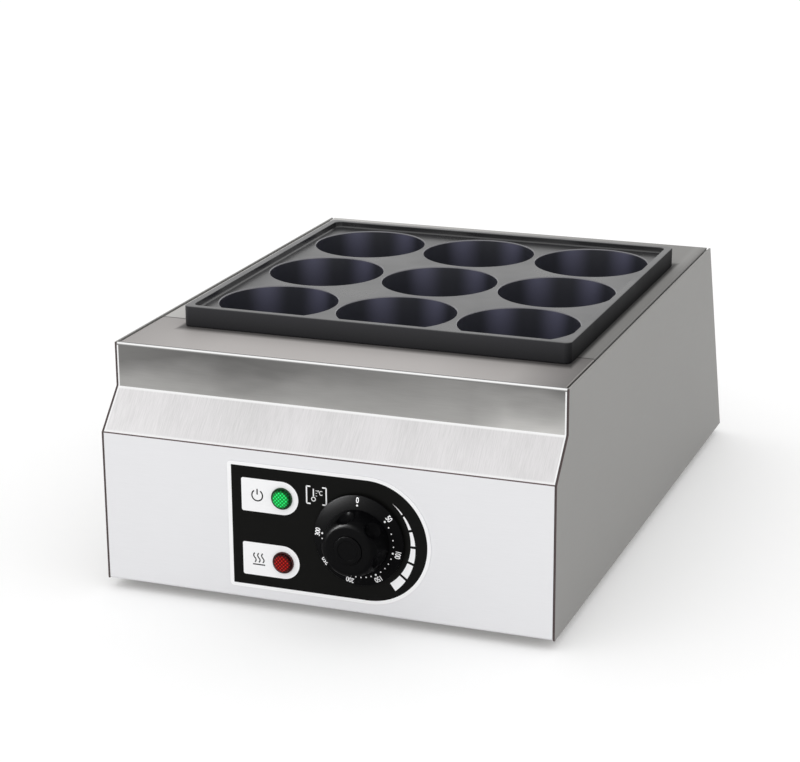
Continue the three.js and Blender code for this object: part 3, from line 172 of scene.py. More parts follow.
class ControlSizes(PropertyGroup):
    """Sizes of the label, the lamps and the knob."""

    label_corner: length("Label corner", "Radius of the label's left corners", 0.003)
    label_border: length("Label border", "Width of the label's pale border", 0.0026)
    label_left_border: length("Left border", "Width of the border on the left", 0.0031)
    field_corner: length("Field corner", "Radius of the black field's left corners", 0.0005)
    ink: length("Ink", "Height of the print above the film", 0.00005)
    window_left: length("Window left", "Reach of a lamp's window to the left of the lamp", 0.0319)
    window_half: length("Window half height", "Half height of a lamp's window", 0.0127)
    window_corner: length("Window corner", "Radius of a window's left corners", 0.0015)
    window_hole: share("Window hole", "Width of a window's hole, as a share of the bezel's", 0.8)
    symbol_reach: length("Symbol reach", "From a lamp to its symbol", 0.0195)
    symbol_radius: length("Symbol radius", "Radius of a lamp's symbol", 0.0042)
    symbol_gap: angle("Symbol gap", "Half the gap in the power symbol's ring", 35)
    stroke: length("Stroke", "Width of the print's lines", 0.0010)
    bar_radius: length("Bar radius", "Inner radius of the heat scale's bars", 0.0390)
    bar_width: length("Bar width", "Width of the widest bar", 0.0068)
    bar_inset: share("Bar inset", "Reach of the bars inside their radius, as a share of their width", 0.12)
    bar_start: angle("Bar start", "Angle of the first bar's narrow end", 50.3)
    bar_step: angle("Bar step", "Angle from one bar to the next", 17.75)
    bar_gap: angle("Bar gap", "Gap between two bars", 2.65)
    bar_point: angle("Bar point", "Angle at which the bars would run out to a point", 51)
    bar_sweep: angle("Bar sweep", "Angle from the point to the full width", 104.6)
    bars: count("Bars", "Bars of the heat scale", 6)
    bracket_reach: length("Bracket reach", "From the knob's axis to the bracketed icon", 0.0332)
    bracket_rise: length("Bracket rise", "From the knob's axis up to the bracketed icon", 0.0290)
    bracket_width: length("Bracket width", "Width of the bracketed icon", 0.0152)
    bracket_height: length("Bracket height", "Height of the bracketed icon", 0.0130)
    dial_radius: length("Dial radius", "Radius of the knob's dial", 0.0343)
    dial_rim: length("Dial rim", "Thickness of the dial at its edge", 0.0014)
    dial_edge: length("Dial edge", "Rounding of the dial's edge", 0.0005)
    hub_radius: length("Hub radius", "Radius of the hub through the dial", 0.012)
    grip_radius: length("Grip radius", "Radius of the grip at the dial", 0.0243)
    grip_front: length("Grip front", "Radius of the grip at its shoulder", 0.0215)
    grip_edge: length("Grip edge", "Radius of the grip's shoulder", 0.005)
    scallop_radius: length("Scallop radius", "Radius of a finger hollow", 0.0090)
    scallop_setout: length("Scallop setout", "From the shoulder out to a hollow's centre", 0.0058)
    scallop_stretch: share("Scallop stretch", "Length of a hollow, as a share of its width", 1.2)
    scallop_start: angle("Scallop start", "Turn of the first hollow from the top", -12)
    cap_radius: length("Cap radius", "Radius of the disc in the grip's front", 0.0106)
    cap_proud: length("Cap proud", "How far the disc stands out of the grip", 0.0008)
    cap_dish: share("Cap dish", "Width of the dish in the disc, as a share of the disc's", 0.72)
    dot_ring: length("Dot ring", "Radius of the ring of dots on the dial", 0.0273)
    number_ring: length("Number ring", "Radius of the ring of numbers on the dial", 0.0309)
    number_height: length("Number height", "Height of the numbers", 0.0040)
    main_dot: length("Main dot", "Radius of a dot at a number", 0.00075)
    small_dot: length("Small dot", "Radius of a dot between numbers", 0.0005)
    bezel_barrel: share("Bezel barrel", "Width of a lamp's barrel, as a share of its bezel's", 0.73)
    bezel_proud: length("Bezel proud", "How far a bezel stands out of the label", 0.0016)
    lens_gap: length("Lens gap", "Room round a lens in its bezel", 0.0002)
    lens_rise: length("Lens rise", "Height of a lens", 0.0032)
    lens_wall: length("Lens wall", "Height of the straight wall at a lens's foot", 0.0013)
    facet: length("Facet", "Distance between the facets in a lens", 0.0028)
    scallops: count("Scallops", "Finger hollows round the grip", 6)
    steps: count("Steps", "Steps round the knob", 96)


class FinishColours(PropertyGroup):
    """Colours of the finishes."""

    # Painted light: the control face, slope, band, front strip, top plate and side are one steel, given
    # lighter and darker copies by how the light falls on each zone; the band shade is the painted shade at
    # the band's top.
    face: tone("Control face", "Pale satin steel of the control face", (231, 231, 233))
    slope: tone("Slope", "Bright brushed steel of the slope", (233, 231, 232))
    slope_shade: tone("Slope streaks", "Darker streaks in the slope's brushing", (214, 213, 213))
    band: tone("Band", "Satin steel of the upper band", (153, 152, 150))
    band_shade: tone("Band shade", "Darkest tone of the upper band", (112, 112, 111))
    top: tone("Front strip", "Warm satin steel of the top's front strip", (187, 183, 181))
    plate: tone("Top plate", "Steel of the top plate", (142, 141, 139))
    side: tone("Side", "Steel of the side panels", (152, 151, 149))
    # Painted highlight: the bright line along the cover's bends and down its two ends.
    line: tone("Bend line", "Bright line along a bend", (246, 246, 246))
    # Painted shade: the dark tone of the side panels' front edges, also used for the crease below the slope.
    cut: tone("Cut edge", "Dark cut edge of the sheet", (74, 63, 63))
    inner: tone("Inner steel", "Mill finish inside the cabinet", (150, 147, 143))
    coating: tone("Coating", "Black coating of the mould", (30, 30, 32))
    # Painted sheen and highlight: the wells' lighter bluish copy of the coating, and its tone where it faces
    # the light.
    well: tone("Well coating", "Blue-black coating in the wells", (42, 43, 50))
    well_light: tone("Well light", "Coating in the wells where it faces the light", (90, 90, 110))
    # Painted highlight: the wells' lips, lighter than the coating.
    lip: tone("Well lips", "Polished lips of the wells", (112, 111, 116))
    film: tone("Label film", "Black film of the label", (17, 17, 16))
    ink: tone("White ink", "White print", (250, 250, 251))
    knob: tone("Knob", "Black moulding of the knob", (6, 6, 7))
    green: tone("Green lens", "Lens of the power lamp", (18, 158, 66))
    red: tone("Red lens", "Lens of the heat lamp", (112, 8, 4))
    rubber: tone("Rubber", "Rubber of the feet", (34, 34, 34))
    nylon: tone("Nylon", "Moulded black nylon", (36, 36, 38))
    zinc: tone("Zinc", "Zinc-plated screws", (196, 198, 194))
    element: tone("Element", "Heat-darkened element sheath", (86, 80, 76))
    copper: tone("Copper", "Drawn copper", (196, 128, 86))
    ceramic: tone("Ceramic", "Glazed ceramic", (236, 232, 222))
    board: tone("Board", "Pressed mineral board", (206, 201, 188))
    brown_wire: tone("Brown wire", "Brown silicone", (122, 66, 32))
    blue_wire: tone("Blue wire", "Blue silicone", (38, 82, 154))


class StageSizes(PropertyGroup):
    """Camera, light and floor."""

    eye: place("Eye", "Place of the camera", (0.58805, -1.64017, 0.65376))
    turn: angle("Turn", "Turn of the camera", 20.703)
    tilt: angle("Tilt", "Tilt down of the camera", 17.359)
    roll: angle("Roll", "Roll of the camera", -0.3946)
    lens: FloatProperty(
        name="Lens", description="Focal length of the camera, in millimetres", default=101.475, min=1
    )
    sensor: FloatProperty(
        name="Sensor", description="Width of the camera's sensor, in millimetres", default=36, min=1
    )
    floor: length("Floor", "Width of the floor", 40)
    floor_tone: share("Floor tone", "How much light the floor throws back", 0.86)
    floor_glow: share("Floor glow", "Light that is added to the floor where it is seen", 0.17)
    room_light: share("Room light", "Strength of the even light", 0.92)
    key_light: share("Key light", "Strength of the soft lamp", 0.45)
    key_spread: angle("Key spread", "Spread of the soft lamp", 70)
    key_tilt: angle("Key tilt", "Tilt of the soft lamp towards the front", 38)
    key_lean: angle("Key lean", "Lean of the soft lamp towards the side", -12)
    mirrored_side: share("Mirrored side", "Brightness of the room that the right side mirrors", 0.72)
    spark_place: place("Spark place", "Place of the knob's small lamp", (-0.9, -1.42, 0.6))
    spark_width: length("Spark width", "Width of the small lamp", 0.3)
    spark_length: length("Spark length", "Length of the small lamp", 1.1)
    spark_light: FloatProperty(
        name="Spark light", description="Power of the small lamp, in watts", default=230, min=0
    )


def cabinet():
    """The cabinet's sizes."""
    return bpy.context.scene.egg_maker_cabinet


def mould():
    """The mould's sizes."""
    return bpy.context.scene.egg_maker_mould


def controls():
    """The controls' sizes."""
    return bpy.context.scene.egg_maker_controls


def only(*pieces):
    """Select these pieces and nothing else, in object mode."""
    if bpy.context.mode != "OBJECT":
        bpy.ops.object.mode_set(mode="OBJECT")
    bpy.ops.object.select_all(action="DESELECT")
    for piece in pieces:
        piece.select_set(True)
        bpy.context.view_layer.objects.active = piece


@contextmanager
def editing(piece):
    """Edit a piece's mesh, with all of it selected."""
    only(piece)
    bpy.ops.object.mode_set(mode="EDIT")
    bpy.ops.mesh.select_mode(type="VERT")
    bpy.ops.mesh.select_all(action="SELECT")
    yield
    bpy.ops.object.mode_set(mode="OBJECT")


def choose(piece, kind, test):
    """Select in edit mode the vertices, edges or faces that pass a test."""
    bpy.ops.mesh.select_mode(type=kind)
    bpy.ops.mesh.select_all(action="DESELECT")
    mesh = bmesh.from_edit_mesh(piece.data)
    for item in {"VERT": mesh.verts, "EDGE": mesh.edges, "FACE": mesh.faces}[kind]:
        if test(item):
            item.select_set(True)
    mesh.select_flush_mode()
    bmesh.update_edit_mesh(piece.data)


def draw_out(offset):
    """Extrude what is selected in edit mode."""
    bpy.ops.mesh.extrude_region_move(TRANSFORM_OT_translate={"value": offset})


def bevel(width, segments):
    """Bevel the edges that are selected in edit mode."""
    bpy.ops.mesh.bevel(offset=width, segments=segments, affect="EDGES")


def recalculate():
    """Point all the faces of a closed or even sheet one way, in edit mode."""
    bpy.ops.mesh.select_all(action="SELECT")
    bpy.ops.mesh.normals_make_consistent(inside=False)


def settle(name):
    """Name the active piece and put its place in its mesh."""
    piece = bpy.context.object
    piece.name = piece.data.name = name
    only(piece)
    bpy.ops.object.transform_apply(location=True, rotation=True, scale=True)
    return piece


def block(name, low, high):
    """A box between two corners."""
    only()
    low, high = Vector(low), Vector(high)
    bpy.ops.mesh.primitive_cube_add(size=1, location=(low + high) / 2, scale=high - low)
    return settle(name)


def line_through(name, points):
    """A line of edges through points, drawn out from one vertex."""
    only()
    bpy.ops.mesh.primitive_plane_add(size=OVERRUN, location=points[0])
    piece = settle(name)
    with editing(piece):
        bpy.ops.mesh.merge(type="CENTER")
        bpy.ops.mesh.select_mode(type="VERT")
        for before, after in zip(points, points[1:]):
            draw_out(Vector(after) - Vector(before))
    return piece


def plate(name, outline, offset):
    """A flat shape with a thickness."""
    piece = line_through(name, outline)
    with editing(piece):
        bpy.ops.mesh.edge_face_add()
        draw_out(offset)
        recalculate()
    return piece


def turned(name, profile, centre, axis, steps):
    """A profile of radius and height spun about an axis through a centre."""
    across = axis.orthogonal().normalized()
    piece = line_through(name, [centre + across * r + axis * h for r, h in profile])
    with editing(piece):
        bpy.ops.mesh.spin(steps=steps, angle=FULL_TURN, center=centre, axis=axis)
        bpy.ops.mesh.select_all(action="SELECT")
        bpy.ops.mesh.remove_doubles(threshold=MERGE)
        recalculate()
    return piece


def rod(name, radius, low, high, centre, axis, steps):
    """A round bar along an axis."""
    return turned(name, [(0, low), (radius, low), (radius, high), (0, high)], centre, axis, steps)


def arc(centre, radius, start, sweep, steps):
    """Points of an arc in a plane, as pairs, from a start angle through a sweep."""
    angles = [start + sweep * k / steps for k in range(steps + 1)]
    return [(centre[0] + radius * math.cos(a), centre[1] + radius * math.sin(a)) for a in angles]


def on_front(pairs, y):
    """Pairs of X and Z as points at a depth."""
    return [Vector((x, y, z)) for x, z in pairs]


def copied(piece, name, offset):
    """A copy of a piece with its own mesh, moved by an offset."""
    only(piece)
    bpy.ops.object.duplicate(linked=False)
    bpy.ops.transform.translate(value=offset)
    return settle(name)


def spread(piece, spots):
    """A piece made at the first of several spots, with a copy at each of the others."""
    return [piece] + [copied(piece, piece.name, spot - spots[0]) for spot in spots[1:]]


def mirrored(piece, name):
    """A copy of a piece on the other side of the cabinet's middle."""
    only(piece)
    bpy.ops.object.duplicate(linked=False)
    bpy.ops.transform.resize(value=(-1, 1, 1), center_override=(0, 0, 0))
    made = settle(name)
    with editing(made):
        recalculate()
    return made


def outward(sheet, direction):
    """Turn an open sheet's faces so that the outermost one looks outwards."""
    outermost = max(sheet.data.polygons, key=lambda face: face.center.dot(direction))
    if outermost.normal.dot(direction) < 0:
        with editing(sheet):
            bpy.ops.mesh.flip_normals()


def modified(piece, kind, **settings):
    """Add a modifier, set it and apply it."""
    only(piece)
    bpy.ops.object.modifier_add(type=kind)
    modifier = piece.modifiers[-1]
    for key, value in settings.items():
        setattr(modifier, key, value)
    bpy.ops.object.modifier_apply(modifier=modifier.name)
    return piece


def joined(pieces):
    """Several pieces as one."""
    only(*reversed(pieces))
    bpy.ops.object.join()
    return pieces[0]


def combined(piece, tools, operation):
    """A piece cut by tools, or one with them."""
    tool = joined(tools)
    modified(piece, "BOOLEAN", object=tool, operation=operation, solver="EXACT")
    bpy.data.objects.remove(tool)
    return piece


def rounded(piece, width, segments=2, limit=math.radians(50)):
    """A piece with its sharp edges rounded."""
    return modified(piece, "BEVEL", width=width, segments=segments, limit_method="ANGLE", angle_limit=limit)


def smoothed(piece, limit=SMOOTH_ANGLE):
    """A piece with smooth curves and true flats."""
    only(piece)
    bpy.ops.object.shade_smooth_by_angle(angle=limit)
    return modified(piece, "WEIGHTED_NORMAL", keep_sharp=True)


def coat(piece, name, test=None):
    """Give a finish to a piece, or only to its faces that pass a test."""
    piece.data.materials.append(finish(name))
    if test is not None:
        with editing(piece):
            choose(piece, "FACE", test)
            piece.active_material_index = len(piece.data.materials) - 1
            bpy.ops.object.material_slot_assign()


def fit(piece, body, node):
    """Put a finished piece on its body, in place of a CAD node."""
    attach(piece, body)
    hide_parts(node)


def box_middle(node):
    """Middle of a node's box."""
    low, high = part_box(node)
    return (low + high) / 2


def box_radius(node):
    """Half the width of a round node."""
    low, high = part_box(node)
    return (high.x - low.x) / 2


def is_at(value, spot):
    """Whether a coordinate lies at a spot."""
    return abs(value - spot) < NEAR


def middle(item):
    """Middle of an edge or a face."""
    if isinstance(item, bmesh.types.BMEdge):
        return (item.verts[0].co + item.verts[1].co) / 2
    return item.calc_center_median()


def runs_along(edge, axis):
    """Whether an edge runs along an axis."""
    along = (edge.verts[1].co - edge.verts[0].co).normalized()
    return abs(along.dot(axis)) > math.cos(math.radians(1))


def is_bend(edge):
    """Whether an edge lies between two faces."""
    return len(edge.link_faces) > 1


class Folds:
    """Places of the front cover's folds."""

    def __init__(self):
        s = cabinet()
        self.low, self.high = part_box("front_cover")
        self.face_top = self.low.z + s.face_height
        self.band_foot = self.face_top + s.slope_height
        self.band = self.low.y + s.setback


def shaded(colour, amount):
    """A colour made darker or lighter by a share."""
    return tuple(min(1, v * amount) for v in colour[:3])


class Recipe:
    """A finish's node tree, built up step by step."""

    def __init__(self, name, colour, roughness, metallic=0.0, **settings):
        self.material = bpy.data.materials.new(name)
        self.material.use_nodes = True
        self.tree = self.material.node_tree
        self.shader = self.tree.nodes["Principled BSDF"]
        self.colour = (*colour, 1)
        settings |= {"Base_Color": self.colour, "Roughness": roughness, "Metallic": metallic}
        for key, value in settings.items():
            self.shader.inputs[key.replace("_", " ")].default_value = value
        self.place = self.add("ShaderNodeTexCoord").outputs["Object"]

    def add(self, kind, inputs=None, **settings):
        """A node, with its settings and what goes into it."""
        made = self.tree.nodes.new(kind)
        for key, value in settings.items():
            setattr(made, key, value)
        for key, value in (inputs or {}).items():
            if isinstance(value, bpy.types.NodeSocket):
                self.tree.links.new(value, made.inputs[key])
            elif isinstance(value, tuple) and made.inputs[key].type == "VECTOR":
                made.inputs[key].default_value = value[:3]
            else:
                made.inputs[key].default_value = value
        return made

    def feed(self, socket, value):
        """Lead a value into the shader."""
        self.tree.links.new(value, self.shader.inputs[socket])

    def worked(self, operation, *values):
        """A number worked out from others."""
        return self.add("ShaderNodeMath", dict(enumerate(values)), operation=operation).outputs[0]

    def noise(self, scale, detail=3.0, roughness=0.55):
        """Noise whose grain is given by how often it changes per metre on each axis."""
        mapped = self.add("ShaderNodeMapping", {"Vector": self.place, "Scale": scale})
        grain = {"Vector": mapped.outputs[0], "Scale": 1.0, "Detail": detail, "Roughness": roughness}
        return self.add("ShaderNodeTexNoise", grain).outputs["Fac"]

    def stretched(self, value, low, high, new_low=0, new_high=1):
        """A value spread from one range to another."""
        inputs = {"Value": value, "From Min": low, "From Max": high, "To Min": new_low, "To Max": new_high}
        return self.add("ShaderNodeMapRange", inputs).outputs[0]

    def varied(self, noise, centre, amount, spread_of_noise=0.2):
        """A number that noise moves by an amount to both sides of a centre."""
        low, high = 0.5 - spread_of_noise, 0.5 + spread_of_noise
        return self.stretched(noise, low, high, centre - amount, centre + amount)

    def blend(self, factor, first, second, mode="MIX"):
        """A colour between two, or one laid over the other."""
        mix = self.add("ShaderNodeMix", data_type="RGBA", blend_type=mode)
        for index, value in ((0, factor), (6, first), (7, second)):
            if isinstance(value, bpy.types.NodeSocket):
                self.tree.links.new(value, mix.inputs[index])
            else:
                mix.inputs[index].default_value = value if index == 0 else (*value[:3], 1)
        return mix.outputs[2]

    def mottled(self, noise, dark, light):
        """The finish's own colour, moved by noise from a darker share to a lighter one."""
        self.ground = self.blend(noise, shaded(self.colour, dark), shaded(self.colour, light))
        self.feed("Base Color", self.ground)

    def ramp(self, factor, stops):
        """A colour ramp over a factor from 0 to 1."""
        made = self.add("ShaderNodeValToRGB", {"Fac": factor})
        elements = made.color_ramp.elements
        while len(elements) < len(stops):
            elements.new(0.5)
        for element, (position, colour) in zip(elements, stops):
            element.position = position
            element.color = (*colour[:3], 1)
        return made.outputs["Color"]

    def scaled(self, colour, amount):
        """A colour made darker or lighter by a share that changes over the surface."""
        return self.add("ShaderNodeVectorMath", {0: colour, "Scale": amount}, operation="SCALE").outputs[0]

    def axis(self, name):
        """One coordinate of the place, in metres."""
        return self.add("ShaderNodeSeparateXYZ", {"Vector": self.place}).outputs[name]

    def distance(self, name, spot):
        """How far the place lies from a spot along one axis, in metres."""
        return self.worked("ABSOLUTE", self.worked("SUBTRACT", self.axis(name), spot))

    def facing(self, direction):
        """How far the surface turns towards a direction, up to 1."""
        normal = self.add("ShaderNodeNewGeometry").outputs["Normal"]
        inputs = {0: normal, 1: direction}
        return self.add("ShaderNodeVectorMath", inputs, operation="DOT_PRODUCT").outputs["Value"]

    def bump(self, height, strength, distance):
        """Fine relief."""
        made = self.add("ShaderNodeBump", {"Height": height, "Strength": strength, "Distance": distance})
        self.feed("Normal", made.outputs["Normal"])


# Painted highlight lines at the slope's two bends, and painted light across the slope from left to right.
SLOPE_HIGHLIGHT_LINES = ((0.05, 0.7), (0.08, 0), (0.93, 0), (0.96, 1))
SLOPE_LIGHT_TONES = ((0, 1), (0.4, 0.94), (1, 0.93))
# Painted reflection on the band: tones of its light foot and its dark top, from left to right.
PAINTED_BAND_FOOT_TONES = ((0, 1.36), (0.4, 1.28), (0.55, 1.16), (0.8, 1.16), (0.87, 1.75))
PAINTED_BAND_HEAD_TONES = ((0, 0.56), (0.25, 0.37), (0.75, 0.76), (1, 0.42))
# Painted light and shade along the front strip and the top plate, from left to right.
STRIP_LIGHT_TONES = ((0, 0.72), (0.22, 0.97), (0.7, 0.98), (0.87, 0.85), (1, 0.36))
PLATE_LIGHT_TONES = ((0.1, 1.9), (0.9, 1), (0.96, 1), (0.973, 1.12), (0.985, 1), (0.996, 0.8))
# Painted glints at the lenses' facets.
LENS_GLINT_TONES = ((0, 0.45), (0.5, 0.9), (0.75, 1.6), (0.95, 5))
# Painted highlights in the wells: turns of the two directions that they face.
WELL_LIGHT_TURNS = (36, -20)


def toned(colour, tones):
    """Stops for a ramp, each the colour made darker or lighter by its share."""
    return [(spot, shaded(colour, amount)) for spot, amount in tones]


def along_cover(recipe, colour, tones):
    """A colour whose tone changes from the left to the right of the cover."""
    low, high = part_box("front_cover")
    reach = recipe.stretched(recipe.axis("X"), low.x, high.x)
    return recipe.ramp(reach, toned(colour, tones))


def with_end_highlights(recipe, colour, line):
    """A colour with a painted highlight line down both ends of the cover."""
    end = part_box("front_cover")[1].x
    width = cabinet().end_highlight_width
    near_end = recipe.stretched(recipe.distance("X", 0), end - width, end - width * 0.7)
    return recipe.blend(near_end, colour, line)


def painted_mould_shade(recipe):
    """A share that drops at the seam and at the mould's foot: painted shade in the seam, and a painted
    reflection of the mould's dark wall.
    """
    low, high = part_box("mould_plate")
    beside = recipe.worked("SUBTRACT", recipe.distance("X", (low.x + high.x) / 2), (high.x - low.x) / 2)
    before = recipe.worked("SUBTRACT", recipe.distance("Y", (low.y + high.y) / 2), (high.y - low.y) / 2)
    side_narrowing = 2.6
    gap = recipe.worked("MAXIMUM", recipe.worked("MULTIPLY", beside, side_narrowing), before)
    painted_wall_reflection = recipe.stretched(gap, 0.003, 0.0105, 0.28, 1)
    painted_seam_shade = recipe.stretched(recipe.distance("Y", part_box("top_plate")[0].y), 0.0006, 0.0013, 0.35, 1)
    return recipe.worked("MULTIPLY", painted_wall_reflection, painted_seam_shade)


def steel(name, colour, across, along, roughness, metallic, depth, cloud, run="X", **settings):
    """Brushed steel, by how often its grain changes across and along the way that the brushing runs."""
    recipe = Recipe(name, colour, roughness, metallic, **settings)
    grain = recipe.noise([along if axis == run else across for axis in "XYZ"], detail=4)
    patches = recipe.noise((9, 9, 9), detail=2)
    streaks = recipe.varied(grain, 1, depth, 0.15)
    recipe.tone = recipe.worked("MULTIPLY", streaks, recipe.varied(patches, 1, cloud))
    recipe.feed("Base Color", recipe.scaled(recipe.colour, recipe.tone))
    recipe.feed("Roughness", recipe.varied(grain, roughness, 0.05))
    recipe.bump(grain, 0.12, 0.0001)
    return recipe


def slope_steel(colours):
    """Bright steel with upright brushing, a painted highlight along its two bends, and painted light that
    dims a little towards the right.
    """
    folds = Folds()
    recipe = Recipe("slope steel", colours.slope, 0.36, 0.6)
    grain = recipe.noise((1500, 70, 70), detail=5, roughness=0.7)
    patches = recipe.varied(recipe.noise((26, 9, 9)), 0, -0.14)
    streaks = recipe.stretched(recipe.worked("ADD", grain, patches), 0.25, 0.62)
    ground = recipe.blend(streaks, colours.slope_shade, colours.slope)
    ground = recipe.blend(1, ground, along_cover(recipe, WHITE, SLOPE_LIGHT_TONES), "MULTIPLY")
    rise = recipe.stretched(recipe.axis("Z"), folds.face_top, folds.band_foot)
    highlight_lines = recipe.ramp(rise, toned(WHITE, SLOPE_HIGHLIGHT_LINES))
    recipe.feed("Base Color", with_end_highlights(recipe, recipe.blend(highlight_lines, ground, colours.line), colours.line))
    recipe.bump(grain, 0.14, 0.0001)
    return recipe


def band_steel(colours):
    """Satin steel of the upper band with a painted reflection: dark along its top and light along its foot.
    """
    folds = Folds()
    recipe = Recipe("band steel", colours.band, 0.38, 0.6)
    foot = along_cover(recipe, colours.band, PAINTED_BAND_FOOT_TONES)
    head = along_cover(recipe, colours.band, PAINTED_BAND_HEAD_TONES)
    rise = recipe.stretched(recipe.axis("Z"), folds.band_foot, folds.high.z)
    # Painted reflection: the border between the light foot and the dark top drifts in clouds and leans across
    # the band.
    painted_reflection_drift = recipe.varied(recipe.noise((14, 14, 40), detail=2), 0, 0.18)
    lean = recipe.stretched(recipe.axis("X"), folds.low.x, folds.high.x, 0.3, -0.01)
    level = recipe.worked("ADD", recipe.worked("ADD", rise, painted_reflection_drift), lean)
    shade = recipe.blend(recipe.stretched(level, 0, 1), foot, head)
    grain = recipe.noise((60, 900, 900))
    brushed = recipe.scaled(shade, recipe.varied(grain, 1, 0.03))
    recipe.feed("Base Color", with_end_highlights(recipe, brushed, colours.line))
    recipe.bump(grain, 0.05, 0.0001)
    return recipe


def top_steel(name, colour, tones, **settings):
    """Satin steel of the top, with painted light and shade from left to right and a painted reflection of the
    mould at its foot.
    """
    recipe = steel(name, colour, across=1800, along=40, **settings)
    ground = recipe.scaled(along_cover(recipe, colour, tones), recipe.tone)
    recipe.feed("Base Color", recipe.scaled(ground, painted_mould_shade(recipe)))
    return recipe


def strip_steel(colours):
    """Warm satin steel of the top's front strip, with painted shade at its two ends."""
    settings = dict(roughness=0.55, metallic=0.12, depth=0.01, cloud=0.015, Specular_IOR_Level=0.12)
    return top_steel("strip steel", colours.top, STRIP_LIGHT_TONES, **settings)


def plate_steel(colours):
    """Satin steel of the top plate, with painted light left of the mould and a painted light line and a
    painted shade line along its right edge.
    """
    settings = dict(roughness=0.6, metallic=0.1, depth=0.012, cloud=0.02, Specular_IOR_Level=0.1)
    return top_steel("plate steel", colours.plate, PLATE_LIGHT_TONES, **settings)


def bend_highlight_steel(colours):
    """Polished bend with a painted highlight along its middle and painted shade along its foot and its top.
    """
    top = Folds().high.z
    recipe = Recipe("bend steel", colours.line, 0.25, 0.5)
    rise = recipe.stretched(recipe.axis("Z"), top - cabinet().bend, top)
    stops = [
        (0.0, shaded(colours.band_shade, 0.8)), (0.35, colours.band), (0.55, colours.line),
        (0.85, colours.line), (0.93, colours.band_shade),
    ]
    recipe.feed("Base Color", recipe.ramp(rise, stops))
    recipe.bump(recipe.noise((90, 1200, 1200)), 0.05, 0.0001)
    return recipe


def crease_shade_steel(colours):
    """Painted shade: a darker line in the bend below the slope."""
    recipe = Recipe("crease steel", colours.cut, 0.4, 0.5)
    recipe.mottled(recipe.noise((220, 220, 220)), 1.1, 2.2)
    return recipe


def edge_shade_steel(colours):
    """Painted shade on the sheet's front edges, mottled."""
    recipe = Recipe("cut steel", colours.cut, 0.55, 0.4)
    edge_grain = recipe.noise((900, 900, 900))
    recipe.mottled(edge_grain, 0.8, 1.5)
    recipe.bump(edge_grain, 0.3, 0.0002)
    return recipe


def coating(name, colour, roughness, index):
    """Non-stick coating with a fine grain."""
    recipe = Recipe(name, colour, roughness, IOR=index)
    grain = recipe.noise((2600, 2600, 2600))
    recipe.mottled(grain, 0.8, 1.25)
    recipe.feed("Roughness", recipe.varied(recipe.noise((22, 22, 22), detail=2), roughness, 0.04))
    recipe.bump(grain, 0.1, 0.00008)
    return recipe


def deck_coating(colours):
    """Satin coating of the deck and rim."""
    return coating("deck coating", colours.coating, 0.3, 1.75)


def lip_highlight_coating(colours):
    """Polished lips of the wells, a lighter copy of the coating as a painted highlight."""
    return coating("lip coating", colours.lip, 0.25, 1.75)


def rim_coating(colours):
    """Dull coating of the mould's outer walls, a lighter copy of the coating, with painted light towards
    their top and painted shade on the right.
    """
    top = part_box("mould_plate")[1].z
    recipe = coating("rim coating", shaded(colours.coating, 1.7), 0.5, 1.45)
    # Painted light and shade: lighter towards the top, darker on the wall that faces right.
    rise = recipe.stretched(recipe.axis("Z"), top - mould().rim_height, top, 0.6, 1.3)
    side = recipe.facing(RIGHT)
    shade = recipe.worked("MULTIPLY", rise, recipe.stretched(side, 0, 1, 1.1, 0.35))
    recipe.feed("Base Color", recipe.scaled(recipe.ground, shade))
    recipe.feed("Specular IOR Level", recipe.stretched(side, 0, 1, 0.3, 0.06))
    return recipe


def well_coating(colours):
    """Blue-black coating inside the wells, a lighter bluish copy of the coating as a painted sheen, with two
    soft painted highlights that fade towards the floor.
    """
    recipe = coating("well coating", colours.well, 0.32, 1.6)
    patches = []
    for degrees in WELL_LIGHT_TURNS:
        highlight_direction = Matrix.Rotation(math.radians(degrees), 3, "Z") @ FRONT
        near = recipe.stretched(recipe.facing(highlight_direction), 0.92, 1)
        patches.append(recipe.worked("POWER", near, 2.2))
    deck = mould_frame()[2]
    rise = recipe.stretched(recipe.axis("Z"), deck - mould().well_depth, deck, 0.3, 1.05)
    light = recipe.worked("MULTIPLY", recipe.worked("MAXIMUM", *patches), rise)
    recipe.feed("Base Color", recipe.blend(light, colours.well, colours.well_light))
    return recipe


def film(colours):
    """Black printed film."""
    recipe = Recipe("label film", colours.film, 0.4, Specular_IOR_Level=0.05)
    grain = recipe.noise((4000, 4000, 4000), detail=2)
    recipe.mottled(grain, 0.9, 1.15)
    recipe.bump(grain, 0.05, 0.00005)
    return recipe


def white_ink(colours):
    """White print."""
    recipe = Recipe("white ink", colours.ink, 0.5)
    recipe.mottled(recipe.noise((3000, 3000, 3000), detail=2), 0.97, 1)
    return recipe


def moulding(name, colour, roughness, grain_scale=2200, relief=0.12, gloss=0.5):
    """Moulded plastic, rubber or ceramic with a fine grain."""
    recipe = Recipe(name, colour, roughness, Specular_IOR_Level=gloss)
    grain = recipe.noise((grain_scale,) * 3)
    recipe.mottled(grain, 0.85, 1.2)
    recipe.feed("Roughness", recipe.varied(grain, roughness + 0.005, 0.055))
    recipe.bump(grain, relief, 0.0001)
    return recipe


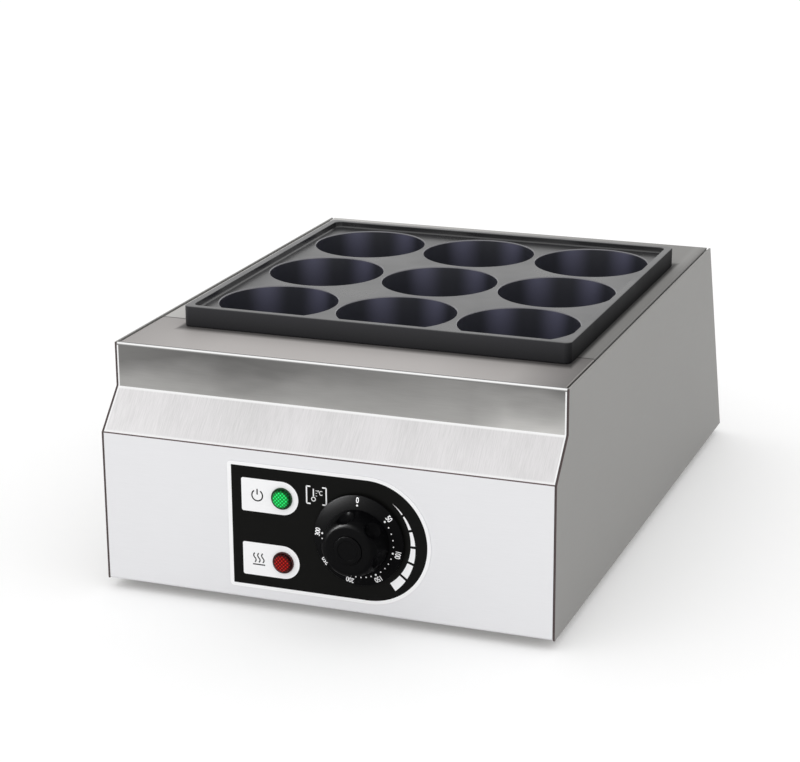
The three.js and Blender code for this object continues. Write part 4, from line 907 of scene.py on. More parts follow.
def lens(name, colour, glow, node):
    """Faceted plastic with painted glints at its facets and a painted dark rim, round the middle of a node.
    """
    centre, radius = box_middle(node), box_radius(node)
    recipe = Recipe(name, colour, 0.15, IOR=1.5, Specular_IOR_Level=0.12, Emission_Strength=glow)
    frequency = FULL_TURN / controls().facet
    waves = [recipe.worked("SINE", recipe.worked("MULTIPLY", recipe.axis(axis), frequency)) for axis in "XZ"]
    cells = recipe.worked("MULTIPLY", *waves)
    level = {0: recipe.place, 1: (1, 0, 1)}
    flat = recipe.add("ShaderNodeVectorMath", level, operation="MULTIPLY").outputs[0]
    reach = {0: flat, 1: (centre.x, 0, centre.z)}
    off = recipe.add("ShaderNodeVectorMath", reach, operation="DISTANCE").outputs["Value"]
    facet_glints = recipe.ramp(recipe.stretched(cells, -1, 1), toned(colour, LENS_GLINT_TONES))
    pattern = recipe.scaled(facet_glints, recipe.stretched(off, radius * 0.72, radius * 0.92, 1, 0.12))
    recipe.feed("Base Color", pattern)
    recipe.feed("Emission Color", pattern)
    recipe.bump(cells, 0.4, 0.0003)
    return recipe


SHAPED_FINISHES = {
    "slope": slope_steel,
    "band": band_steel,
    "strip": strip_steel,
    "plate": plate_steel,
    "bend": bend_highlight_steel,
    "crease": crease_shade_steel,
    "cut": edge_shade_steel,
    "deck": deck_coating,
    "rim": rim_coating,
    "lip": lip_highlight_coating,
    "well": well_coating,
    "film": film,
    "ink": white_ink,
}
STEELS = {
    "face": ("face steel", dict(
        across=2600, along=60, roughness=0.42, metallic=0.55, depth=0.012, cloud=0.008,
    )),
    "side": ("side steel", dict(
        across=1600, along=50, roughness=0.55, metallic=0.15, depth=0.01, cloud=0.01,
        run="Y", Specular_IOR_Level=0.12,
    )),
    "inner": ("inner steel", dict(
        across=700, along=90, roughness=0.42, metallic=0.9, depth=0.05, cloud=0.08,
    )),
    "zinc": ("zinc plate", dict(
        across=1500, along=900, roughness=0.3, metallic=1.0, depth=0.06, cloud=0.05,
    )),
    "element": ("element sheath", dict(
        across=900, along=120, roughness=0.5, metallic=0.85, depth=0.2, cloud=0.2,
    )),
    "copper": ("drawn copper", dict(
        across=1200, along=100, roughness=0.3, metallic=1.0, depth=0.08, cloud=0.08,
    )),
}
MOULDINGS = {
    "knob": ("knob moulding", "knob", 1, dict(roughness=0.3, grain_scale=2600, relief=0.04, gloss=0.03)),
    "nylon": ("black nylon", "nylon", 1, dict(roughness=0.48)),
    "rubber": ("foot rubber", "rubber", 1, dict(roughness=0.8, grain_scale=1500, relief=0.3)),
    "ceramic": ("glazed ceramic", "ceramic", 1, dict(roughness=0.3, grain_scale=500, relief=0.05)),
    "board": ("mineral board", "board", 1, dict(roughness=0.95, grain_scale=900, relief=0.5)),
    "brown": ("brown silicone", "brown_wire", 1, dict(roughness=0.6, grain_scale=1200, relief=0.08)),
    "blue": ("blue silicone", "blue_wire", 1, dict(roughness=0.6, grain_scale=1200, relief=0.08)),
    "green bezel": ("dark green moulding", "green", 0.1, dict(roughness=0.3, gloss=0.3)),
    "red bezel": ("dark red moulding", "red", 0.25, dict(roughness=0.3, gloss=0.3)),
}
LENSES = {
    "green": ("green lens", 0.3, "power_lamp_lens"),
    # Painted light: the red lamp is unlit, and its glow only lightens the lens.
    "red": ("red lens", 0.1, "heat_lamp_lens"),
}
FINISHES = {}


def made_finish(name):
    """A new finish by its name."""
    colours = bpy.context.scene.egg_maker_colours
    if name in STEELS:
        title, settings = STEELS[name]
        return steel(title, getattr(colours, name), **settings)
    if name in MOULDINGS:
        title, colour, amount, settings = MOULDINGS[name]
        return moulding(title, shaded(getattr(colours, colour), amount), **settings)
    if name in LENSES:
        title, glow, node = LENSES[name]
        return lens(title, getattr(colours, name), glow, node)
    return SHAPED_FINISHES[name](colours)


def finish(name):
    """A finish by its name, made when it is first asked for."""
    if name not in FINISHES:
        FINISHES[name] = made_finish(name).material
    return FINISHES[name]


def mould_frame():
    """Centre of the mould, and the heights of its rim and deck."""
    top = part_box("mould_plate")[1].z
    return box_middle("mould_plate"), top, top - mould().recess


def well_centres():
    """Places of the wells in X and Y."""
    centre = mould_frame()[0]
    s = mould()
    steps = [(k - (s.rows - 1) / 2) * s.well_pitch for k in range(s.rows)]
    return [Vector((centre.x + x, centre.y + y, 0)) for y in steps for x in steps]


def stud_centres():
    """Places of the four studs, between the wells."""
    centre = mould_frame()[0]
    half = mould().well_pitch / 2
    return [Vector((centre.x + x, centre.y + y, 0)) for y in (-half, half) for x in (-half, half)]


def opening_tool():
    """The box that opens the top sheet under the mould."""
    s = mould()
    wells = s.well_pitch * (s.rows - 1) / 2 + s.well_radius
    reach = wells + s.cup_wall + cabinet().opening_margin
    middle_top = box_middle("mould_plate")
    middle_top.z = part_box("top_plate")[1].z
    half = Vector((reach, reach, OVERRUN))
    return block("opening", middle_top - half, middle_top + half)


def face_tools():
    """Rods that open the control face for the lamps, the shaft and the two screws."""
    s = cabinet()
    holes = [(f"{word}_lamp_body", s.lamp_hole) for word in ("power", "heat")]
    holes += [(f"thermostat_screw_{k}", s.screw_hole) for k in (1, 2)]
    holes += [("thermostat_shaft", s.shaft_hole)]
    tools = []
    for node, amount in holes:
        spot = box_middle(node)
        spot.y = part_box("front_cover")[0].y
        tools.append(rod("hole", box_radius(node) * amount, -OVERRUN, OVERRUN, spot, FRONT, 40))
    return tools


class EGG_OT_front_cover(Operator):
    """Fold the front cover: control face, slope, band and the top's front strip"""

    bl_idname = "egg_maker.front_cover"
    bl_label = "Front cover"

    def execute(self, context):
        s = cabinet()
        folds = Folds()
        cover = self.sheet(s, folds)
        self.top_lips(s, cover, folds)
        with editing(cover):
            choose(cover, "EDGE", lambda edge: self.is_slope_bend(edge, folds))
            bevel(s.slope_bend, 3)
            recalculate()
        outward(cover, FRONT)
        modified(cover, "SOLIDIFY", thickness=s.sheet, offset=-1, use_even_offset=True)
        combined(cover, [opening_tool()], "DIFFERENCE")
        combined(cover, face_tools(), "DIFFERENCE")
        smoothed(cover)
        self.paint(s, cover, folds)
        fit(cover, CABINET, "front_cover")
        return {"FINISHED"}

    def sheet(self, s, folds):
        """The cover's profile drawn out to its width, with its two square bends rounded."""
        low, high = folds.low, folds.high
        corners = [
            (low.y + s.cover_lip, low.z), (low.y, low.z), (low.y, folds.face_top),
            (folds.band, folds.band_foot), (folds.band, high.z), (high.y, high.z),
        ]
        cover = line_through("front_cover_sheet", [(low.x, y, z) for y, z in corners])
        with editing(cover):
            bpy.ops.mesh.select_mode(type="EDGE")
            draw_out(RIGHT * (high.x - low.x))
            choose(cover, "EDGE", lambda edge: self.is_square_bend(edge, folds))
            bevel(s.bend, 6)
        return cover

    def top_lips(self, s, cover, folds):
        """Narrow the front strip to the top's width and fold its two side lips down."""
        top_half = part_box("top_plate")[1].x
        strip_front = folds.band + 2 * s.bend
        on_top = lambda item: is_at(middle(item).z, folds.high.z)
        side_edge = lambda edge: on_top(edge) and is_at(abs(middle(edge).x), top_half)
        with editing(cover):
            for side in (-1, 1):
                choose(cover, "FACE", on_top)
                bpy.ops.mesh.bisect(plane_co=(side * top_half, 0, 0), plane_no=RIGHT)
            choose(cover, "FACE", on_top)
            bpy.ops.mesh.bisect(plane_co=(0, strip_front, 0), plane_no=FRONT)
            choose(cover, "FACE", lambda face: on_top(face) and abs(middle(face).x) > top_half)
            bpy.ops.mesh.delete(type="FACE")
            choose(cover, "EDGE", lambda edge: side_edge(edge) and middle(edge).y > strip_front)
            draw_out(-UP * s.top_lip)
            choose(cover, "EDGE", lambda edge: side_edge(edge) and is_bend(edge))
            bevel(s.bend * s.side_bend, 3)

    def is_square_bend(self, edge, folds):
        """Whether an edge is the bend at the cover's foot or at the band's top."""
        spot = middle(edge)
        at_foot = is_at(spot.y, folds.low.y) and is_at(spot.z, folds.low.z)
        at_top = is_at(spot.y, folds.band) and is_at(spot.z, folds.high.z)
        return runs_along(edge, RIGHT) and is_bend(edge) and (at_foot or at_top)

    def is_slope_bend(self, edge, folds):
        """Whether an edge is one of the two bends beside the slope."""
        spot = middle(edge)
        below = is_at(spot.y, folds.low.y) and is_at(spot.z, folds.face_top)
        above = is_at(spot.y, folds.band) and is_at(spot.z, folds.band_foot)
        return runs_along(edge, RIGHT) and (below or above)

    def paint(self, s, cover, folds):
        """Give each flat and each bend its own finish, copies of one steel made lighter or darker by painted
        light, with painted highlight and shade at the bends.
        """
        front = lambda face, least: face.normal.y < -least
        slanted = lambda face: front(face, 0.3) and 0.3 < face.normal.z < 0.95
        coat(cover, "inner")
        coat(cover, "face", lambda f: front(f, 0.2) and middle(f).z < folds.face_top - s.slope_bend / 2)
        coat(cover, "slope", lambda f: slanted(f) and middle(f).z > folds.face_top)
        coat(cover, "band", lambda f: front(f, 0.9) and middle(f).z > folds.band_foot)
        coat(cover, "strip", lambda f: f.normal.z > 0.9 and middle(f).z > folds.high.z - s.sheet / 2)
        coat(cover, "bend", lambda f: front(f, 0.05) and self.is_in_top_bend(s, f, folds))
        coat(cover, "crease", lambda f: self.is_in_crease(s, f, folds))

    def is_in_top_bend(self, s, face, folds):
        """Whether a face lies in the bend between the band and the front strip."""
        spot = middle(face)
        near = spot.z > folds.high.z - s.bend - NEAR and spot.y < folds.band + s.bend + NEAR
        return near and face.normal.z > 0.02

    def is_in_crease(self, s, face, folds):
        """Whether a face is in the bend between the control face and the slope."""
        near = abs(middle(face).z - folds.face_top) < s.slope_bend
        return near and -0.98 < face.normal.y < -0.75 and face.normal.z > 0.02


class EGG_OT_side_panels(Operator):
    """Make the right side panel with its inner flanges, and its mirrored copy on the left"""

    bl_idname = "egg_maker.side_panels"
    bl_label = "Side panels"

    def execute(self, context):
        s = cabinet()
        low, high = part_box("right_side_panel")
        inner = high.x - s.side_sheet
        right = self.panel(s, low, high, inner)
        left = mirrored(right, "left_side_sheet")
        for panel, word, side in ((left, "left", -1), (right, "right", 1)):
            smoothed(panel)
            # The side steel is a painted shaded copy of the cover's steel.
            coat(panel, "side")
            # Painted shade on the panel's front edge.
            coat(panel, "cut", lambda f: f.normal.y < -0.5 and middle(f).x * side > inner)
            coat(panel, "inner", lambda f: middle(f).x * side < inner - NEAR)
            fit(panel, CABINET, f"{word}_side_panel")
        return {"FINISHED"}

    def panel(self, s, low, high, inner):
        """The right panel, from its stepped outline."""
        folds = Folds()
        outline = [
            (low.y, low.z), (high.y, low.z), (high.y - s.back_run, high.z),
            (folds.band, high.z), (folds.band, folds.band_foot), (low.y, folds.face_top),
        ]
        panel = plate("right_side_sheet", [(inner, y, z) for y, z in outline], RIGHT * s.side_sheet)
        rounded(panel, s.edge)
        combined(panel, self.flanges(s, low, high, inner), "UNION")
        return combined(panel, self.screw_tools(s), "DIFFERENCE")

    def flanges(self, s, low, high, inner):
        """Foot flange, front flange, ledge under the top and sloping rear flange."""
        sunk = inner + s.side_sheet / 2
        flange_x, ledge_x = inner - s.flange, inner - s.ledge
        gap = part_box("base_plate")[0].z - low.z - s.side_sheet
        front = low.y + s.sheet + gap
        ledge_top = high.z - s.ledge_drop
        return [
            block(
                "foot_flange", (flange_x, low.y + s.cover_lip + gap, low.z),
                (sunk, high.y - s.flange, low.z + s.side_sheet),
            ),
            block(
                "front_flange", (flange_x, front, low.z + s.flange),
                (sunk, front + s.side_sheet, low.z + s.face_height - s.flange),
            ),
            block(
                "ledge", (ledge_x, low.y + s.setback + s.sheet + s.bend, ledge_top - s.side_sheet),
                (sunk, high.y - s.back_run - s.flange, ledge_top),
            ),
            self.rear_flange(s, low, high, flange_x, sunk, gap),
        ]

    def rear_flange(self, s, low, high, x0, x1, gap):
        """The sloping strip that the rear panel is screwed to."""
        lean = back_lean()
        outside = (s.sheet + gap) / math.cos(lean)
        inside = outside + s.side_sheet / math.cos(lean)
        back_at = lambda z: high.y - (z - low.z) * math.tan(lean)
        foot, head = low.z + s.flange, high.z - 2 * s.flange
        outline = [
            (x0, back_at(foot) - inside, foot), (x0, back_at(foot) - outside, foot),
            (x0, back_at(head) - outside, head), (x0, back_at(head) - inside, head),
        ]
        return plate("rear_flange", outline, RIGHT * (x1 - x0))

    def screw_tools(self, s):
        """Holes for the two rear screws."""
        spots = [box_middle(f"rear_screw_{height}_right") for height in ("lower", "upper")]
        out = Vector((0, math.cos(back_lean()), math.sin(back_lean())))
        return spread(rod("screw_hole", s.rear_hole, -2 * OVERRUN, 2 * OVERRUN, spots[0], out, 24), spots)


def back_lean():
    """How far the sloping back leans from upright."""
    low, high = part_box("right_side_panel")
    return math.atan2(cabinet().back_run, high.z - low.z)


class EGG_OT_top_plate(Operator):
    """Fold the top plate round the mould's opening"""

    bl_idname = "egg_maker.top_plate"
    bl_label = "Top plate"

    def execute(self, context):
        s = cabinet()
        low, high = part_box("top_plate")
        back = high.y - s.flange
        profile = [(low.x, low.z), (low.x, high.z), (high.x, high.z), (high.x, low.z)]
        top = line_through("top_sheet", [(x, low.y, z) for x, z in profile])
        on_top = lambda edge: is_at(middle(edge).z, high.z)
        with editing(top):
            bpy.ops.mesh.select_mode(type="EDGE")
            draw_out(-FRONT * (back - low.y))
            choose(top, "EDGE", lambda edge: on_top(edge) and is_at(middle(edge).y, back))
            draw_out(-FRONT * (high.y - back))
            choose(top, "EDGE", lambda edge: on_top(edge) and runs_along(edge, FRONT) and is_bend(edge))
            bevel(s.bend * s.side_bend, 4)
            recalculate()
        outward(top, UP)
        modified(top, "SOLIDIFY", thickness=s.sheet, offset=-1, use_even_offset=True)
        combined(top, [opening_tool()], "DIFFERENCE")
        smoothed(top)
        coat(top, "plate")
        coat(top, "inner", lambda face: face.normal.z < -0.5)
        fit(top, CABINET, "top_plate")
        return {"FINISHED"}


class EGG_OT_mould(Operator):
    """Cast the mould: rim, deck, wells, cups and bosses"""

    bl_idname = "egg_maker.mould"
    bl_label = "Mould"

    def execute(self, context):
        s = mould()
        low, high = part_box("mould_plate")
        deck = mould_frame()[2]
        casting = self.casting(s, low, high, deck)
        rounded(casting, s.edge, 3, math.radians(60))
        for tool, spots, operation in (
            (self.cup, well_centres(), "UNION"), (self.boss, stud_centres(), "UNION"),
            (self.well, well_centres(), "DIFFERENCE"), (self.bore, stud_centres(), "DIFFERENCE"),
        ):
            combined(casting, spread(tool(s, low.z, deck, spots[0]), spots), operation)
        smoothed(casting)
        self.paint(s, casting, low, high, deck)
        fit(casting, CABINET, "mould_plate")
        return {"FINISHED"}

    def casting(self, s, low, high, deck):
        """The plain casting with its raised rim, before the wells."""
        bottom = high.z - s.rim_height
        casting = block("mould_casting", (low.x, low.y, bottom), high)
        centre = (low.x + high.x) / 2
        outer = (high.x - low.x) / 2
        is_corner = lambda edge, reach: runs_along(edge, UP) and is_at(abs(middle(edge).x - centre), reach)
        with editing(casting):
            choose(casting, "FACE", lambda face: face.normal.z > 0.9)
            bpy.ops.mesh.inset(thickness=s.rim_width)
            draw_out(-UP * s.recess)
            choose(casting, "FACE", lambda face: face.normal.z < -0.9)
            bpy.ops.mesh.inset(thickness=s.rim_width)
            draw_out(UP * (deck - s.deck - bottom))
            choose(casting, "EDGE", lambda edge: is_corner(edge, outer))
            bevel(s.corner, 8)
            choose(casting, "EDGE", lambda edge: is_corner(edge, outer - s.rim_width))
            bevel(s.inner_corner, 8)
            choose(casting, "EDGE", lambda edge: not runs_along(edge, UP) and is_at(middle(edge).z, deck))
            bevel(s.deck_fillet, 3)
        return casting

    def well(self, s, foot, deck, spot):
        """The hollow of one well, with its floor's fillet and its rounded lip."""
        floor = deck - s.well_depth
        corner = (s.well_radius - s.well_draft - s.well_fillet, floor + s.well_fillet)
        fillet = arc(corner, s.well_fillet, -QUARTER_TURN, QUARTER_TURN, 6)
        lip = arc((s.well_radius + s.lip, deck - s.lip), s.lip, math.pi, -QUARTER_TURN, 5)
        above = [(s.well_radius + s.lip, deck + OVERRUN), (0, deck + OVERRUN)]
        return turned("well", [(0, floor), *fillet, *lip, *above], spot, UP, s.well_steps)

    def cup(self, s, foot, deck, spot):
        """The outside of one cup."""
        top = s.well_radius + s.cup_wall
        corner = (top - s.well_draft - s.cup_wall, foot + s.cup_wall)
        under = arc(corner, s.cup_wall, -QUARTER_TURN, QUARTER_TURN, 3)
        in_deck = deck - s.deck / 2
        return turned("cup", [(0, foot), *under, (top, in_deck), (0, in_deck)], spot, UP, s.well_steps // 2)

    def boss(self, s, foot, deck, spot):
        """One boss under the deck."""
        return rod("boss", s.boss_radius, deck - s.deck - s.boss_length, deck - s.deck / 2, spot, UP, 32)

    def bore(self, s, foot, deck, spot):
        """The bore for one stud."""
        bottom = deck - s.deck - s.boss_length
        return rod("bore", s.bore_radius, bottom - OVERRUN, bottom + s.bore_depth, spot, UP, 24)

    def paint(self, s, casting, low, high, deck):
        """Give the deck, the wells, their lips and the outer wall their coatings."""
        centres = [spot.xy for spot in well_centres()]
        off_well = lambda face: min((middle(face).xy - spot).length for spot in centres) - s.well_radius
        below = lambda face: deck - middle(face).z
        is_underside = lambda face: face.normal.z < -0.9 and is_at(middle(face).z, deck - s.deck)
        coat(casting, "deck")
        coat(casting, "well", lambda f: below(f) > s.lip and off_well(f) < -NEAR and not is_underside(f))
        on_lip = lambda f: NEAR < below(f) < s.lip + NEAR and 0.05 < f.normal.z < 0.95
        coat(casting, "lip", lambda f: on_lip(f) and off_well(f) < s.lip)
        coat(casting, "rim", lambda f: abs(f.normal.z) < 0.3 and self.is_outer(s, middle(f), low, high))

    def is_outer(self, s, spot, low, high):
        """Whether a point lies on the mould's outer wall."""
        inset = min(spot.x - low.x, high.x - spot.x, spot.y - low.y, high.y - spot.y)
        return inset < s.corner / 2 and spot.z > high.z - s.rim_height


def tab_outline(left, arc_x, centre_z, half, corner, steps):
    """Outline of a flat tab with small corners on the left and a half circle on the right."""
    corner_steps = max(4, steps // 8)
    points = arc((arc_x, centre_z), half, -QUARTER_TURN, math.pi, steps)
    points += arc((left + corner, centre_z + half - corner), corner, QUARTER_TURN, QUARTER_TURN, corner_steps)
    points += arc((left + corner, centre_z - half + corner), corner, math.pi, QUARTER_TURN, corner_steps)
    return points


def knob_axis():
    """A point on the knob's axis."""
    return Vector(KNOB_JOINT["pos_m"])


class EGG_OT_label(Operator):
    """Make the control label with its windows, scale bars and icons"""

    bl_idname = "egg_maker.label"
    bl_label = "Control label"

    def execute(self, context):
        s = controls()
        low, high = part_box("control_label")
        centre_z = (low.z + high.z) / 2
        half = (high.z - low.z) / 2
        arc_x = high.x - half
        outline = tab_outline(low.x, arc_x, centre_z, half, s.label_corner, 48)
        label = plate("label_film", on_front(outline, high.y), FRONT * (high.y - low.y))
        field_left = low.x + s.label_left_border
        field = tab_outline(field_left, arc_x, centre_z, half - s.label_border, s.field_corner, 48)
        black = plate("label_field", on_front(field, low.y), FRONT * s.ink)
        for layer, name in ((label, "ink"), (black, "film")):
            combined(layer, face_tools(), "DIFFERENCE")
            coat(layer, name)
        on_field = low.y - s.ink
        prints = self.windows(s, on_field) + self.bars(s, on_field) + self.icons(s, on_field)
        label = joined([label, black, *prints])
        smoothed(label)
        fit(label, CABINET, "control_label")
        return {"FINISHED"}

    def windows(self, s, y):
        """The pale windows round the lamps, each with a plain symbol."""
        power, heat = (box_middle(f"{word}_lamp_body") for word in ("power", "heat"))
        power.y = heat.y = y
        outline = tab_outline(power.x - s.window_left, power.x, power.z, s.window_half, s.window_corner, 24)
        window = plate("window", on_front(outline, y), FRONT * s.ink)
        hole_radius = box_radius("power_lamp_body") * s.window_hole
        combined(window, [rod("window_hole", hole_radius, -OVERRUN, OVERRUN, power, FRONT, 40)], "DIFFERENCE")
        coat(window, "ink")
        made = spread(window, [power, heat])
        for symbol, lamp in ((self.power_symbol, power), (self.heat_symbol, heat)):
            made += symbol(s, Vector((lamp.x - s.symbol_reach, y - s.ink, lamp.z)))
        return made

    def stroke(self, s, points, finish_name, weight=1):
        """A printed line of even width through points in X and Z."""
        sides = [[], []]
        for i, point in enumerate(points):
            ahead = points[min(i + 1, len(points) - 1)] - points[max(i - 1, 0)]
            across = Vector((-ahead.z, 0, ahead.x)).normalized() * s.stroke * weight / 2
            sides[0].append(point + across)
            sides[1].append(point - across)
        made = plate("stroke", sides[0] + sides[1][::-1], FRONT * s.ink)
        coat(made, finish_name)
        return made

    def ring(self, centre, radius, start, sweep, steps):
        """Points of a ring on the label."""
        return on_front(arc((centre.x, centre.z), radius, start, sweep, steps), centre.y)

    def power_symbol(self, s, spot):
        """The usual broken ring with an upright stroke."""
        sweep = 2 * (math.pi - s.symbol_gap)
        ring = self.ring(spot, s.symbol_radius, QUARTER_TURN + s.symbol_gap, sweep, 32)
        foot, head = (spot + UP * s.symbol_radius * reach for reach in (0.15, 1.2))
        return [self.stroke(s, ring, "film"), self.stroke(s, [foot, head], "film")]

    def heat_symbol(self, s, spot):
        """Three rising waves over a line."""
        spacing, drop, rise, sway, half, thin = 0.75, 0.6, 1.7, 0.22, 1.15, 0.9
        starts = [spot + (RIGHT * k * spacing - UP * drop) * s.symbol_radius for k in (-1, 0, 1)]
        steps = 16
        marks = [k / steps for k in range(steps + 1)]
        sways = [UP * rise * t + RIGHT * sway * math.sin(t * FULL_TURN) for t in marks]
        wave = [starts[0] + offset * s.symbol_radius for offset in sways]
        base = [spot + (RIGHT * side * half - UP) * s.symbol_radius for side in (-1, 1)]
        return spread(self.stroke(s, wave, "film", thin), starts) + [self.stroke(s, base, "film", thin)]

    def bars(self, s, y):
        """Bars round the dial that grow wider with the heat."""
        axis = knob_axis()
        steps = 6
        made = []
        for k in range(s.bars):
            top = s.bar_start - k * s.bar_step
            angles = [top - (s.bar_step - s.bar_gap) * t / steps for t in range(steps + 1)]
            rays = [Vector((math.cos(a), 0, math.sin(a))) for a in angles]
            centre = Vector((axis.x, y, axis.z))
            outer, inner = (
                [centre + ray * self.bar_reach(s, a, side) for ray, a in zip(rays, angles)] for side in (1, 0)
            )
            bar = plate("heat_bar", outer + inner[::-1], FRONT * s.ink)
            coat(bar, "ink")
            made.append(bar)
        return made

    def bar_reach(self, s, at, side):
        """Radius of the bars' inner or outer edge at an angle."""
        width = s.bar_width * (s.bar_point - at) / s.bar_sweep
        return s.bar_radius + (side - s.bar_inset) * width

    def icons(self, s, y):
        """A thermometer and a degree sign between square brackets."""
        axis = knob_axis()
        spot = Vector((axis.x - s.bracket_reach, y, axis.z + s.bracket_rise))
        across, up = RIGHT * s.bracket_width / 2, UP * s.bracket_height / 2
        made = self.brackets(s, spot, across, up)
        made += self.thermometer(s, spot - across * 0.3 - up * 0.45, up)
        sign = spot + across * 0.36 + up * 0.3
        return made + [lettering("°C", sign, s.bracket_height * 0.27, 0, s.ink)]

    def brackets(self, s, spot, across, up):
        """Two square brackets round a spot."""
        hook = across * 0.4
        made = []
        for side in (-1, 1):
            back = spot + across * side
            corners = [back - hook * side + up, back + up, back - up, back - hook * side - up]
            made += [self.stroke(s, pair, "ink") for pair in zip(corners, corners[1:])]
        return made

    def thermometer(self, s, bulb, up):
        """A bulb with a stem and three ticks."""
        almost_round = FULL_TURN - 0.01
        stem = bulb + UP * s.stroke * 2
        ring = self.ring(bulb, s.stroke * 1.5, 0, almost_round, 16)
        ticks = [stem + RIGHT * s.stroke * 1.8 + up * height for height in (0.1, 0.4, 0.7)]
        tick = self.stroke(s, [ticks[0], ticks[0] + RIGHT * s.stroke], "ink", 0.4)
        parts = [self.stroke(s, ring, "ink", 0.6), self.stroke(s, [stem, stem + up * 0.9], "ink", 0.9)]
        return parts + spread(tick, ticks)


LETTER_HEIGHT = 0.7
LETTER_WIDTH = 0.78
LETTER_SPACING = 0.92
LETTER_WEIGHT = 0.012


def lettering(text, centre, height, turn, thickness, lean=0):
    """Upright characters on the front, turned about their middle and leaning back at their top."""
    only()
    bpy.ops.object.text_add()
    made = bpy.context.object
    made.data.body = text
    made.data.align_x = "CENTER"
    made.data.align_y = "CENTER"
    made.data.size = height / LETTER_HEIGHT
    made.data.space_character = LETTER_SPACING
    made.data.offset = height * LETTER_WEIGHT
    made.data.extrude = thickness / 2
    only(made)
    bpy.ops.object.convert(target="MESH")
    upright = Matrix.Rotation(QUARTER_TURN - lean, 4, "X")
    stand = Matrix.Translation(centre) @ Matrix.Rotation(turn, 4, FRONT) @ upright
    made.data.transform(stand @ Matrix.Diagonal((LETTER_WIDTH, 1, 1, 1)))
    with editing(made):
        bpy.ops.mesh.remove_doubles(threshold=MERGE)
        bpy.ops.mesh.normals_make_consistent(inside=False)
    coat(made, "ink")
    made.name = made.data.name = "lettering"
    return made


DIAL_ANGLES = (0, 50, 102, 150, 192, 234, 276)
NUMBER_STEP = 50
DOT_STEPS = 5


def round_knob(radius, turn):
    """A point round the knob's axis, at a turn from the top towards the right."""
    return knob_axis() + (UP * math.cos(turn) + RIGHT * math.sin(turn)) * radius


